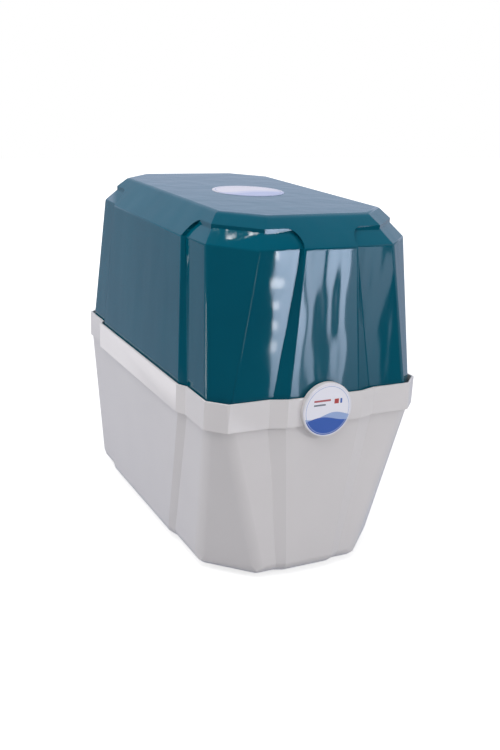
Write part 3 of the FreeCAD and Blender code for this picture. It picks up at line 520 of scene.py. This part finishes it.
blue_pp = moulded("blue_pp", "#1D4E9E", 0.38, grain=0.9, depth=0.02)
cap_out = Vector((-1.0, -1.0, 0.0)).normalized()
cap_start = Vector((0.0, tank_y, air_cap_z)) + cap_out * (tank_radius + 0.3)
cap = bmesh.new()
turned(cap, [(0.0, 0.0), (6.2, 0.0), (6.2, 1.5), (5.6, 1.8), (air_cap_radius, 11.5), (4.6, 12.9),
             (0.0, 13.0)], cap_start, cap_out)
for number in range(grip_ribs):
    side = Matrix.Rotation(2.0 * math.pi * number / grip_ribs, 3, cap_out) @ (up * air_cap_radius)
    prism(cap, 4, 0.5, cap_start + side + cap_out * 2.0, cap_start + side + cap_out * 11.0, edge=0.1)
piece("air_cap", cap, "case", "blue_plastic", blue_pp, "air_valve_cap")


# The nipple in the tank's boss is turned from stainless steel bar, with a hexagon for the spanner.
# The metal keeps the soft bright marks of the cutting tool.
machined_steel, tree = empty_material("machined_stainless")
place = add(tree, "ShaderNodeTexCoord", {}).outputs["Object"]
lines = add(tree, "ShaderNodeMapping", {"Vector": place, "Scale": (1.0, 1.0, 30.0)})
marks = add(tree, "ShaderNodeTexNoise", {
    "Vector": lines.outputs[0], "Scale": 1.0 / (18.0 * mm), "Detail": 2.0})
tone = add(tree, "ShaderNodeMix", {0: marks.outputs["Fac"], 6: linear("#C2C2BF"), 7: linear("#A9A9A6")},
           data_type="RGBA")
close_material(tree, tone.outputs[2], marks, 0.3, 0.02, {"Metallic": 1.0, "Roughness": 0.28})
neck_low, neck_high = box_mm("tank_neck")
neck_foot = Vector((0.0, tank_y, neck_low.z))
neck = bmesh.new()
prism(neck, 6, 10.0, neck_foot, neck_foot + up * (neck_high.z - neck_low.z), edge=0.5)
piece("neck_hexagon", neck, "case", "nickel_steel", machined_steel, "tank_neck")


# The ball valve screws down on the nipple: a turned body of waxy white acetal with a hexagonal
# skirt, a side outlet with its grey release collar, and a blue lever on the ball's stem.
back = Vector((0.0, 1.0, 0.0))
right = Vector((1.0, 0.0, 0.0))
tube_radius = 3.175
tube_bore = tube_radius + 0.15
valve_radius = 12.5
high_line = 326.0
stem_z = 312.0


def brick(form, low, high, edge):
    """Adds a block between two corners (mm) with rounded edges."""
    low, high = Vector(low), Vector(high)
    block = bmesh.new()
    bmesh.ops.create_cube(block, size=1.0)
    bmesh.ops.scale(block, vec=(high - low) * mm, verts=block.verts)
    bmesh.ops.translate(block, vec=(high + low) * 0.5 * mm, verts=block.verts)
    round_edges(block, list(block.edges), edge, 2)
    take_in(form, block)


acetal = moulded("acetal_white", "#DCDCD8", 0.34, grain=0.9, depth=0.015)
grey_acetal = moulded("acetal_grey", "#7E8183", 0.36, grain=0.9, depth=0.015)
valve_low, valve_high = box_mm("ball_valve_body")
valve_foot = Vector((0.0, tank_y, valve_low.z))
valve_height = valve_high.z - valve_low.z
valve = bmesh.new()
turned(valve, [(0.0, 13.0), (11.6, 13.0), (12.3, 14.0), (valve_radius, 16.0), (valve_radius, 24.0),
               (11.0, 26.5), (8.5, 27.5), (8.5, valve_height - 2.5), (7.5, valve_height),
               (0.0, valve_height)], valve_foot, steps=40)
prism(valve, 6, 12.2, valve_foot, valve_foot + up * 13.5, edge=0.7)
outlet_start = Vector((0.0, tank_y + 8.0, high_line))
turned(valve, [(0.0, 0.0), (6.4, 0.0), (6.4, 14.4), (5.9, 15.2), (tube_bore, 15.2)], outlet_start, back)
turned(valve, [(tube_bore, 14.8), (5.2, 14.8), (5.2, 16.0), (tube_bore, 16.0)], outlet_start, back)
turned(valve, [(4.5, 11.0), (6.2, 11.0), (6.2, 12.5), (4.5, 12.5)], (0.0, tank_y, stem_z), right)
piece("valve_body", valve, "case", "white_acetal", acetal, "ball_valve_body")
lever = solid_of("valve_lever")
round_edges(lever, creases(lever, 30.0), 0.7, 3)
lever_high = box_mm("valve_lever")[1]
brick(lever, (lever_high.x - 0.6, tank_y - 2.2, stem_z + 8.0),
      (lever_high.x, tank_y + 2.2, lever_high.z - 4.0), edge=0.25)
piece("lever_handle", lever, "lever", "blue_plastic", blue_pp, "valve_lever")


# The rack is a plate of sheet steel, laser cut and powder coated like the tank. Its two legs end
# in tabs that are screwed to the tub's bosses with pan-head screws.
plate_thickness = 2.5
rack_screw_x = 75.0
rack_screw_out = 10.0
rack = solid_of("rack_plate")
round_edges(rack, creases(rack, 30.0), 0.5, 2)
rack_low = box_mm("rack_plate")[0]
rack_y = rack_low.y + 0.5 * plate_thickness
piece("rack_sheet", rack, "case", "rack_steel", powder_white, "rack_plate")
screws = bmesh.new()
for side in (-1, 1):
    turned(screws, [(0.0, 0.8), (1.6, 0.8), (1.6, 2.3), (2.4, 2.2), (3.5, 1.4), (3.9, 0.4), (3.9, 0.0),
                    (0.0, 0.0)],
           (side * rack_screw_x, rack_low.y + plate_thickness + rack_screw_out,
            rack_low.z + plate_thickness), steps=28)
piece("rack_screws", screws, "case", "nickel_steel", machined_steel)


# The spring clips are moulded in acetal: a jaw of rather more than half a circle, open away from
# the plate, with rounded lips and a block on the plate behind it.
vessel_radius = 23.0
clip_floors = (100.0, 240.0)
clip_height = 12.0
clip_wall = 2.4
clip_play = 0.15
lip_radius = 1.9
jaw_half = 108.0


def both_ends(half, length):
    """A profile that is the same from both ends of its length (mm)."""
    return half + [(radius, length - height) for radius, height in reversed(half)]


left_x, middle_x, right_x = [
    middle_of(node).x for node in ("sediment_filter", "carbon_filter", "carbon_block_filter")]
back_row = middle_of("sediment_filter").y
front_row = middle_of("mineral_filter").y
front_low, front_high = box_mm("mineral_filter")
barrel_radius = (front_high.x - front_low.x) * 0.5
clips = bmesh.new()
for x in (left_x, middle_x, right_x):
    for y in (front_row, back_row):
        bore = (vessel_radius if x == right_x and y == front_row else barrel_radius) + clip_play
        toward = 1.0 if y < rack_y else -1.0
        middle_angle = 90.0 * toward
        outside = bore + clip_wall
        jaw = both_ends([(bore, 0.6), (bore + 0.5, 0.0), (outside - 0.5, 0.0), (outside, 0.6)], clip_height)
        lip = both_ends([(0.0, 0.0), (lip_radius - 0.5, 0.0), (lip_radius, 0.6)], clip_height)
        for floor_z in clip_floors:
            turned(clips, jaw, (x, y, floor_z), steps=36, angle=2.0 * jaw_half, start=middle_angle - jaw_half)
            for side in (-1, 1):
                lip_angle = math.radians(middle_angle + side * jaw_half)
                turned(clips, lip, (x + (bore + lip_radius) * math.cos(lip_angle),
                                    y + (bore + lip_radius) * math.sin(lip_angle), floor_z), steps=20)
            low_y, high_y = sorted((y + toward * (bore + 1.2), rack_y - toward * 0.5 * plate_thickness))
            brick(clips, (x - 7.0, low_y, floor_z), (x + 7.0, high_y, floor_z + clip_height), edge=0.5)
piece("barrel_clips", clips, "case", "white_acetal", acetal, "cartridge_clips")


# Five inline cartridges stand in the clips: blow-moulded barrels of white polypropylene with
# welded domed ends and a hexagonal neck each way, and a printed band round the middle.
print_low = 126.0
print_high = 226.0
print_reach = 350.0
barrel_white = "#E2E4E6"
band_white = "#F1F2F4"
neck_length = 6.3


def striped(tree, height, top, bands):
    """Colours that change with a height up to a top (mm): pairs of a height (mm) and a colour."""
    share = add(tree, "ShaderNodeMapRange", {"Value": height, "From Min": 0.0, "From Max": top * mm})
    ramp = add(tree, "ShaderNodeValToRGB", {"Fac": share.outputs[0]})
    ramp.color_ramp.interpolation = "CONSTANT"
    for number, (start, colour) in enumerate(bands):
        stops = ramp.color_ramp.elements
        stop = stops[0] if number == 0 else stops.new(start / top)
        stop.position = start / top
        stop.color = linear(colour)
    ramp.color_ramp.elements.remove(ramp.color_ramp.elements[-1])
    return ramp.outputs[0]


def barrel_plastic(name, print_colour):
    """White polypropylene with a printed band: a satin surface with fine flow marks up the barrel."""
    material, tree = empty_material(name)
    place = add(tree, "ShaderNodeTexCoord", {}).outputs["Object"]
    parts = add(tree, "ShaderNodeSeparateXYZ", {"Vector": place})
    colour = striped(tree, parts.outputs["Z"], print_reach, [
        (0.0, barrel_white), (print_low, print_colour), (print_low + 14.0, band_white),
        (print_low + 17.0, print_colour), (print_low + 18.5, band_white),
        (print_high - 8.0, print_colour), (print_high, barrel_white), (print_reach, barrel_white)])
    cloud = add(tree, "ShaderNodeTexNoise", {"Vector": place, "Scale": 1.0 / (40.0 * mm), "Detail": 2.0})
    tone = add(tree, "ShaderNodeMix", {0: cloud.outputs["Fac"], 6: colour, 7: linear("#D3D5D8")},
               data_type="RGBA", blend_type="MULTIPLY")
    flow = add(tree, "ShaderNodeMapping", {"Vector": place, "Scale": (1.0, 1.0, 0.08)})
    marks = add(tree, "ShaderNodeTexNoise", {
        "Vector": flow.outputs[0], "Scale": 1.0 / (2.0 * mm), "Detail": 2.0})
    close_material(tree, tone.outputs[2], marks, 0.4, 0.04, {"Roughness": 0.38, "IOR": 1.49})
    return material


def barrel(name, node, print_colour):
    """A cartridge between its two necks, at the place of its node."""
    low, high = box_mm(node)
    x, y = middle_of(node).xy
    radius = (high.x - low.x) * 0.5
    form = bmesh.new()
    turned(form, both_ends([
        (0.0, 6.0), (7.0, 6.0), (radius - 9.0, 6.0), (radius - 5.0, 6.4), (radius - 1.8, 7.8),
        (radius - 0.4, 10.0), (radius, 12.5), (radius, 21.0), (radius - 0.6, 21.8)], high.z - low.z),
        (x, y, low.z), steps=64)
    for foot, top in ((low.z, low.z + neck_length), (high.z - neck_length, high.z)):
        prism(form, 6, 8.0, (x, y, foot), (x, y, top))
    piece(name, form, "case", "white_pp", barrel_plastic(name + "_plastic", print_colour), node)


barrel("sediment_barrel", "sediment_filter", "#2F6FB0")
barrel("carbon_barrel", "carbon_filter", "#3A3D42")
barrel("carbon_block_barrel", "carbon_block_filter", "#6B7178")
barrel("mineral_barrel", "mineral_filter", "#4C9A5A")
barrel("polishing_barrel", "polishing_filter", "#3F86C0")


# The membrane stands in a pressure vessel moulded in satin white polypropylene. Two hexagonal
# necks lead out below, and a ribbed cap with one neck is screwed on above.
vessel_floor = 45.0
screw_cap_top = 295.0
screw_cap_ribs = 28
port_ys = (58.0, 82.0)
vessel_plastic = moulded("vessel_plastic", "#DFE1E3", 0.36, grain=1.0, depth=0.02)
vessel_foot = box_mm("membrane_housing")[0].z
screw_low, screw_high = box_mm("membrane_cap")
vessel_x, vessel_y = middle_of("membrane_cap").xy
cap_radius = (screw_high.x - screw_low.x) * 0.5
cap_height = screw_cap_top - screw_low.z
vessel = bmesh.new()
turned(vessel, [(0.0, 0.0), (vessel_radius - 4.0, 0.0), (vessel_radius - 1.2, 1.2), (vessel_radius, 4.0),
                (vessel_radius, screw_low.z - vessel_floor)], (vessel_x, vessel_y, vessel_floor), steps=64)
for port_y in port_ys:
    prism(vessel, 6, 7.0, (vessel_x, port_y, vessel_foot), (vessel_x, port_y, vessel_floor + 1.0))
piece("membrane_vessel", vessel, "case", "white_pp", vessel_plastic, "membrane_housing")
screw_cap = bmesh.new()
turned(screw_cap, [(vessel_radius, 0.0), (cap_radius - 2.2, 0.0), (cap_radius - 1.4, 0.8),
                   (cap_radius - 1.4, cap_height - 3.0), (cap_radius - 3.0, cap_height - 0.6),
                   (cap_radius - 5.0, cap_height), (0.0, cap_height)],
       (vessel_x, vessel_y, screw_low.z), steps=64)
for number in range(screw_cap_ribs):
    angle = 2.0 * math.pi * number / screw_cap_ribs
    spot = Vector((vessel_x + (cap_radius - 1.6) * math.cos(angle),
                   vessel_y + (cap_radius - 1.6) * math.sin(angle), 0.0))
    prism(screw_cap, 8, 1.2, spot + up * (screw_low.z + 1.0), spot + up * (screw_cap_top - 3.4), edge=0.3)
prism(screw_cap, 6, 8.0, (vessel_x, vessel_y, screw_cap_top - 0.4), (vessel_x, vessel_y, screw_high.z))
piece("membrane_screw_cap", screw_cap, "case", "white_pp", vessel_plastic, "membrane_cap")


# Push-fit elbows screw into every neck: acetal bodies with two legs, whose grey release rings
# stand a little proud of the legs' ends. The rings are gathered here and finished further on.
front = Vector((0.0, -1.0, 0.0))
left = Vector((-1.0, 0.0, 0.0))
low_line = 30.0
neck_line = 310.0
leg_length = 14.0
leg_radius = 6.0
body_half = Vector((6.8, 6.8, 6.8))
body_round = 2.6
ring_bore = tube_radius + 0.1
rings = bmesh.new()


def push_leg(form, middle, toward):
    """One leg of a push-fit fitting, its grey release ring gathered with the others."""
    turned(form, [(0.0, 0.0), (leg_radius, 0.0), (leg_radius, leg_length - 2.6),
                  (leg_radius - 0.5, leg_length - 1.8), (tube_radius, leg_length - 1.8)], middle, toward)
    turned(rings, [(ring_bore, leg_length - 2.4), (4.9, leg_length - 2.4), (4.9, leg_length - 0.5),
                   (4.5, leg_length), (tube_radius + 0.4, leg_length), (ring_bore, leg_length - 0.3),
                   (ring_bore, leg_length - 2.4)], middle, toward)


elbows = bmesh.new()
for x, y, z, toward in (
        (left_x, back_row, low_line, back), (middle_x, back_row, low_line, right),
        (right_x, back_row, low_line, left), (left_x, front_row, low_line, right),
        (middle_x, front_row, low_line, left), (right_x, port_ys[0], low_line, right),
        (right_x, port_ys[1], low_line, back), (left_x, back_row, neck_line, right),
        (middle_x, back_row, neck_line, left), (right_x, back_row, neck_line, front),
        (left_x, front_row, neck_line, left), (right_x, front_row, neck_line, back)):
    middle = Vector((x, y, z))
    brick(elbows, middle - body_half, middle + body_half, edge=body_round)
    turned(elbows, [(0.0, 4.0), (5.4, 4.0), (5.4, 8.8), (0.0, 8.8)], middle, up if z == low_line else -up)
    push_leg(elbows, middle, toward)
piece("push_fit_elbows", elbows, "case", "white_acetal", acetal, "push_elbows")


# The tee is an acetal fitting of the same make. It screws to the carbon column's neck and joins
# the tank and the product line to the polishing cartridge.
tee_middle = Vector((*middle_of("tank_tee").xy, high_line))
tee_drop = high_line - box_mm("tank_tee")[0].z
tee = bmesh.new()
brick(tee, tee_middle - body_half, tee_middle + body_half, edge=body_round)
turned(tee, [(0.0, 0.0), (leg_radius, 0.0), (leg_radius, tee_drop), (0.0, tee_drop)], tee_middle, -up)
for toward in (front, back):
    push_leg(tee, tee_middle, toward)
piece("tank_tee_body", tee, "case", "white_acetal", acetal, "tank_tee")


# The automatic shutoff valve is two square acetal halves with the diaphragm between them, held
# by four screws. Feed water passes below the diaphragm and product water above it.
square_half = 14.0
diaphragm_half = 13.2
split_z = 318.0
split_gap = 0.7
leg_offset = 3.0
valve_screw_out = 11.0
square_low, square_high = box_mm("shutoff_valve")
square_x, square_y = middle_of("shutoff_valve").xy
shutoff = bmesh.new()
for half, low_z, high_z, edge in ((square_half, square_low.z, split_z - split_gap, 1.6),
                                  (square_half, split_z + split_gap, square_high.z, 1.6),
                                  (diaphragm_half, split_z - 1.0, split_z + 1.0, 0.3)):
    brick(shutoff, (square_x - half, square_y - half, low_z),
          (square_x + half, square_y + half, high_z), edge)
turned(shutoff, [(0.0, -2.0), (9.0, -2.0), (9.0, -0.6), (8.4, -0.1), (0.0, -0.1)],
       (square_x, square_y, square_high.z), steps=40)
for toward, line_z in ((front, neck_line), (back, neck_line), (left, high_line), (right, high_line)):
    push_leg(shutoff, Vector((square_x, square_y, line_z)) + toward * leg_offset, toward)
piece("shutoff_body", shutoff, "case", "white_acetal", acetal, "shutoff_valve")
valve_screws = bmesh.new()
for side_x in (-1, 1):
    for side_y in (-1, 1):
        turned(valve_screws, [(0.0, 0.3), (1.0, 0.3), (1.0, 0.8), (1.9, 0.8), (2.2, 0.4), (2.2, -0.2),
                              (0.0, -0.2)],
               (square_x + side_x * valve_screw_out, square_y + side_y * valve_screw_out,
                square_high.z - 0.9), steps=20)
piece("shutoff_screws", valve_screws, "case", "nickel_steel", machined_steel)


# The check valve and the flow restrictor are small turned barrels of white acetal, thicker in the
# middle. Tubes hold one in the permeate line and one in the drain line.


def stepped(radius, length, step, sleeve, rise):
    """The profile of a barrel with a thinner sleeve at each end."""
    thin = radius - step
    return both_ends([(0.0, 0.0), (thin - 0.4, 0.0), (thin, 0.5), (thin, sleeve), (radius, sleeve + rise)],
                     length)


check_low, check_high = box_mm("check_valve")
check_x, check_y = middle_of("check_valve").xy
check_valve = bmesh.new()
turned(check_valve, stepped(check_high.x - check_x, check_high.z - check_low.z, 1.2, 9.0, 1.2),
       (check_x, check_y, check_low.z), steps=40)
piece("check_valve_barrel", check_valve, "case", "white_acetal", acetal, "check_valve")
limit_low, limit_high = box_mm("flow_restrictor")
limit_x = middle_of("flow_restrictor").x
restrictor = bmesh.new()
turned(restrictor, stepped(limit_high.x - limit_x, limit_high.y - limit_low.y, 0.8, 8.0, 1.0),
       (limit_x, limit_low.y, low_line), back, steps=40)
piece("restrictor_barrel", restrictor, "case", "white_acetal", acetal, "flow_restrictor")
piece("release_rings", rings, "case", "grey_collet", grey_acetal)


# The tubes are extruded quarter-inch polyethylene, smooth and a little waxy: white for feed, red
# for the drain and blue for clean water. They are pushed into the fittings and bend in easy curves.
tube_sides = 20
tube_bend = 18.0
bend_steps = 8
port_end = 183.0
outlet_x = -92.0
outlet_line = 120.0
drain_x = 75.0


def curved(points):
    """The points of a path (mm) with its corners rounded off."""
    path = [points[0]]
    for before, corner, after in zip(points, points[1:], points[2:]):
        arm = min(tube_bend, 0.48 * (corner - before).length, 0.48 * (after - corner).length)
        start = corner + (before - corner).normalized() * arm
        end = corner + (after - corner).normalized() * arm
        for step in range(bend_steps + 1):
            share = step / bend_steps
            path.append(start * (1 - share) ** 2 + corner * 2 * share * (1 - share) + end * share ** 2)
    return path + [points[-1]]


def swept(form, points):
    """Adds a tube along a path, its section carried round the bends without a twist."""
    path = curved([Vector(point) for point in points])
    across = (path[1] - path[0]).orthogonal().normalized()
    angles = [2.0 * math.pi * side / tube_sides for side in range(tube_sides)]
    loops = []
    for number, point in enumerate(path):
        run = (path[min(number + 1, len(path) - 1)] - path[max(number - 1, 0)]).normalized()
        across = (across - run * across.dot(run)).normalized()
        other = run.cross(across)
        loops.append([form.verts.new((point + (across * math.cos(angle) + other * math.sin(angle))
                                      * tube_radius) * mm) for angle in angles])
    for low, high in zip(loops, loops[1:]):
        for side in range(tube_sides):
            following = (side + 1) % tube_sides
            form.faces.new((low[side], low[following], high[following], high[side]))
    form.faces.new(list(reversed(loops[0])))
    form.faces.new(loops[-1])


polyethylene = {name: moulded("polyethylene_" + name, colour, 0.3, grain=2.0, depth=0.01)
                for name, colour in (("white", "#E6E6E1"), ("red", "#A8231E"), ("blue", "#1F5FC0"))}
valve_reach = leg_length + leg_offset
for name, node, colour, runs in (
        ("feed_line", "feed_tube", "white",
         [[(left_x, back_row + leg_length, low_line), (left_x, port_end, low_line)]]),
        ("prefilter_lines", "prefilter_link_tubes", "white",
         [[(left_x + leg_length, back_row, neck_line), (middle_x - leg_length, back_row, neck_line)],
          [(middle_x + leg_length, back_row, low_line), (right_x - leg_length, back_row, low_line)]]),
        ("membrane_feed_lines", "membrane_feed_tubes", "white",
         [[(right_x, back_row - leg_length, neck_line), (right_x, square_y + valve_reach, neck_line)],
          [(right_x, square_y - valve_reach, neck_line), (right_x, front_row + leg_length, neck_line)]]),
        ("drain_lines", "drain_tubes", "red",
         [[(right_x, port_ys[1] + leg_length, low_line), (right_x, 108.0, low_line),
           (drain_x, 128.0, low_line), (drain_x, limit_low.y, low_line)],
          [(drain_x, limit_high.y, low_line), (drain_x, port_end, low_line)]]),
        ("permeate_lines", "permeate_tubes", "blue",
         [[(right_x + leg_length, port_ys[0], low_line), (check_x, port_ys[0], low_line),
           (check_x, port_ys[0], check_low.z)],
          [(check_x, port_ys[0], check_high.z), (check_x, port_ys[0], high_line),
           (check_x, square_y, high_line), (square_x + valve_reach, square_y, high_line)]]),
        ("product_line", "product_tube", "blue",
         [[(square_x - valve_reach, square_y, high_line), (0.0, square_y, high_line),
           (0.0, front_row + leg_length, high_line)]]),
        ("tank_line", "tank_tube", "blue",
         [[(0.0, front_row - leg_length, high_line), (0.0, valve_high.y, high_line)]]),
        ("polish_line", "polish_link_tube", "blue",
         [[(middle_x - leg_length, front_row, low_line), (left_x + leg_length, front_row, low_line)]]),
        ("outlet_line", "outlet_tube", "blue",
         [[(left_x - leg_length, front_row, neck_line), (outlet_x, front_row, neck_line),
           (outlet_x, front_row, outlet_line), (outlet_x, port_end, outlet_line)]])):
    line = bmesh.new()
    for run in runs:
        swept(line, run)
    piece(name, line, "case", colour + "_tube", polyethylene[colour], node)


# Three bulkhead unions pass the lines through the back wall: acetal bodies with an outer hexagon
# and a thread, drawn up from inside by hexagonal nuts.
back_wall_y = 206.0
thread_pitch = 1.5
thread_turns = 14
unions = solid_of("bulkhead_unions")
outer = [edge for edge in creases(unions, 40.0) if min(v.co.y for v in edge.verts) > back_wall_y * mm]
round_edges(unions, outer, 0.5, 2)
for middle in union_middles:
    for number in range(thread_turns):
        turned(unions, [(7.4, 0.0), (7.95, 0.5), (7.95, 0.8), (7.4, 1.3)],
               (middle.x, port_end + 1.0 + number * thread_pitch, middle.z), back)
piece("union_bodies", unions, "case", "white_acetal", acetal, "bulkhead_unions")
nuts = solid_of("union_nuts")
round_edges(nuts, creases(nuts, 25.0), 0.4, 2)
piece("union_lock_nuts", nuts, "case", "white_acetal", acetal, "union_nuts")


# Each union holds its tube by a grey acetal release collar with a flange outside. Pushed in by
# 1.2 mm, the collar lets the tube go.
sleeve = 5.275
flange = 6.6
for port in ("feed", "drain", "outlet"):
    low, high = box_mm(port + "_collet")
    middle = (low + high) * 0.5
    length = high.y - low.y
    collar = bmesh.new()
    turned(collar, [(ring_bore, 0.0), (sleeve - 0.3, 0.0), (sleeve, 0.4), (sleeve, length - 2.0),
                    (flange - 0.3, length - 2.0), (flange, length - 1.7), (flange, length - 0.6),
                    (flange - 0.5, length), (ring_bore + 0.7, length), (ring_bore, length - 0.6),
                    (ring_bore, 0.0)],
           (middle.x, low.y, middle.z), back, steps=48)
    piece(port + "_collet_collar", collar, port + "_ring", "grey_collet", grey_acetal, port + "_collet")


# The badge is a disc of printed film set in the boss of the front panel. The print is a generic
# one of waves and a few short bars, in the colours and at the scale of such badges.


def close_print(tree, colour):
    """Lays the clear satin film over a print, with a barely uneven surface."""
    place = add(tree, "ShaderNodeTexCoord", {}).outputs["Object"]
    waver = add(tree, "ShaderNodeTexNoise", {"Vector": place, "Scale": 1.0 / (6.0 * mm)})
    close_material(tree, colour, waver, 0.3, 0.02, {"Roughness": 0.32, "IOR": 1.5})


def disc_places(tree, middle, radius, axes):
    """Places along two axes of a disc (mm), from -1 to 1, and how far out they lie."""
    place = add(tree, "ShaderNodeTexCoord", {}).outputs["Object"]
    centred = add(tree, "ShaderNodeMapping", {
        "Vector": place, "Location": -middle * axes / radius, "Scale": axes / (radius * mm)})
    away = add(tree, "ShaderNodeVectorMath", {0: centred.outputs[0]}, operation="LENGTH")
    parts = add(tree, "ShaderNodeSeparateXYZ", {"Vector": centred.outputs[0]})
    return parts.outputs, away.outputs["Value"]


def under_wave(tree, across, along, waves, shift, height, level):
    """1 on the part of a disc that lies under a wave's crest line."""
    phase = add(tree, "ShaderNodeMath", {0: across, 1: waves, 2: shift}, operation="MULTIPLY_ADD")
    swell = add(tree, "ShaderNodeMath", {0: phase.outputs[0]}, operation="SINE")
    crest = add(tree, "ShaderNodeMath", {0: swell.outputs[0], 1: height, 2: level},
                operation="MULTIPLY_ADD")
    return add(tree, "ShaderNodeMath", {0: along, 1: crest.outputs[0]}, operation="LESS_THAN").outputs[0]


def over(tree, mask, ground, colour):
    """Ink of one colour laid over the ground where the mask is 1."""
    return add(tree, "ShaderNodeMix", {0: mask, 6: ground, 7: linear(colour)}, data_type="RGBA").outputs[2]


def between(tree, value, low, high):
    """1 where a value lies between two limits."""
    middle, half = (low + high) * 0.5, (high - low) * 0.5
    return add(tree, "ShaderNodeMath", {0: value, 1: middle, 2: half}, operation="COMPARE").outputs[0]


badge_low, badge_high = box_mm("badge_disc")
badge_middle = middle_of("badge_disc")
badge_radius = (badge_high.x - badge_low.x) * 0.5
badge_depth = badge_high.y - badge_low.y
badge_film, tree = empty_material("badge_film")
parts, away = disc_places(tree, badge_middle, badge_radius, right + up)
across, upwards = parts["X"], parts["Z"]
ink = over(tree, under_wave(tree, across, upwards, 3.4, 0.6, 0.10, -0.20), linear("#EFEEF6"), "#9DB3DC")
ink = over(tree, under_wave(tree, across, upwards, 3.0, 2.3, 0.09, -0.34), ink, "#3A61B4")
for low_x, high_x, low_z, high_z, colour in (
        (-0.58, 0.10, 0.34, 0.41, "#B4585A"), (-0.58, -0.10, 0.19, 0.25, "#6F7580"),
        (0.26, 0.44, 0.22, 0.40, "#B5443F"), (0.50, 0.58, 0.22, 0.40, "#3A61B4")):
    bar = add(tree, "ShaderNodeMath", {
        0: between(tree, across, low_x, high_x), 1: between(tree, upwards, low_z, high_z)},
              operation="MULTIPLY")
    ink = over(tree, bar.outputs[0], ink, colour)
ink = over(tree, between(tree, away, 0.88, 0.90), ink, "#A9B8DC")
ink = over(tree, between(tree, away, 0.94, 1.10), ink, "#E4E3EA")
close_print(tree, ink)
badge = bmesh.new()
turned(badge, [(0.0, 0.0), (badge_radius, 0.0), (badge_radius, badge_depth - 0.35),
               (badge_radius - 0.3, badge_depth - 0.05), (badge_radius - 0.9, badge_depth),
               (0.0, badge_depth)], (badge_middle.x, badge_high.y, badge_middle.z), front, steps=96)
piece("front_badge", badge, "case", "front_label", badge_film, "badge_disc")


# The label on the cover is a larger disc of the same film, pale, with a soft wave on its front
# half, and one thin ring inside its rim.
disc_low, disc_high = box_mm("top_label")
disc_middle = middle_of("top_label")
disc_radius = (disc_high.x - disc_low.x) * 0.5
disc_thickness = disc_high.z - disc_low.z
top_film, tree = empty_material("top_film")
parts, away = disc_places(tree, disc_middle, disc_radius, right + back)
across, inwards = parts["X"], parts["Y"]
ink = over(tree, under_wave(tree, across, inwards, 3.2, 0.9, 0.10, -0.10), linear("#D6D2DC"), "#C3C5DB")
ink = over(tree, under_wave(tree, across, inwards, 3.2, 0.9, 0.10, -0.38), ink, "#AEB5D4")
ink = over(tree, between(tree, away, 0.90, 0.93), ink, "#A8ABC4")
close_print(tree, ink)
disc = bmesh.new()
turned(disc, [(0.0, 0.0), (disc_radius, 0.0), (disc_radius, disc_thickness - 0.25),
              (disc_radius - 0.3, disc_thickness), (0.0, disc_thickness)],
       (disc_middle.x, disc_middle.y, disc_low.z), steps=96)
piece("top_disc", disc, "cover", "top_label", top_film, "top_label")


# The cover is one moulding of transparent teal styrene plastic, 2.5 mm thick. Its outer edges
# are drawn with wide rounds. The walls are slightly wavy, as large thin mouldings are, so what
# they reflect comes out in streaks; the gloss itself is clean.
cover_foot = 188.5
cover_top_edge = 375.0
cover_round = 1.5
cover_inner_round = 0.5
wave_size = 30.0
wave_depth = 0.5
teal_plastic, tree = empty_material("teal_plastic")
place = add(tree, "ShaderNodeTexCoord", {}).outputs["Object"]
drawn = add(tree, "ShaderNodeMapping", {"Vector": place, "Scale": (1.0, 1.0, 0.3)})
wave = add(tree, "ShaderNodeTexNoise", {
    "Vector": drawn.outputs[0], "Scale": 1.0 / (wave_size * mm), "Detail": 1.0})
tone = clouded(tree, place, 80.0, 2.0, linear("#00687E"), linear("#005C72"))
close_material(tree, tone, wave, 1.0, wave_depth, {
    "Roughness": 0.05, "IOR": 1.45, "Transmission Weight": 0.35})
cover = solid_of("upper_cover")
weld(cover, [v for v in cover.verts if abs(v.co.x) > 60.0 * mm and abs(v.co.y) > 120.0 * mm], corner_weld)
wide = []
for edge in creases(cover, 16.0):
    low, high = height_range(edge)
    above_foot = low > cover_foot or high - low > 20.0
    if faces_out(edge) and edge.calc_length() > 40.0 * mm and above_foot and low < cover_top_edge:
        wide.append(edge)
round_edges(cover, wide, cover_round, 4, clamp=False)
round_edges(cover, [edge for edge in creases(cover, 28.0) if edge.calc_length() > 2.0 * mm],
            cover_inner_round, 2)
piece("cover_shell", cover, "cover", "teal_cover", teal_plastic, "upper_cover")
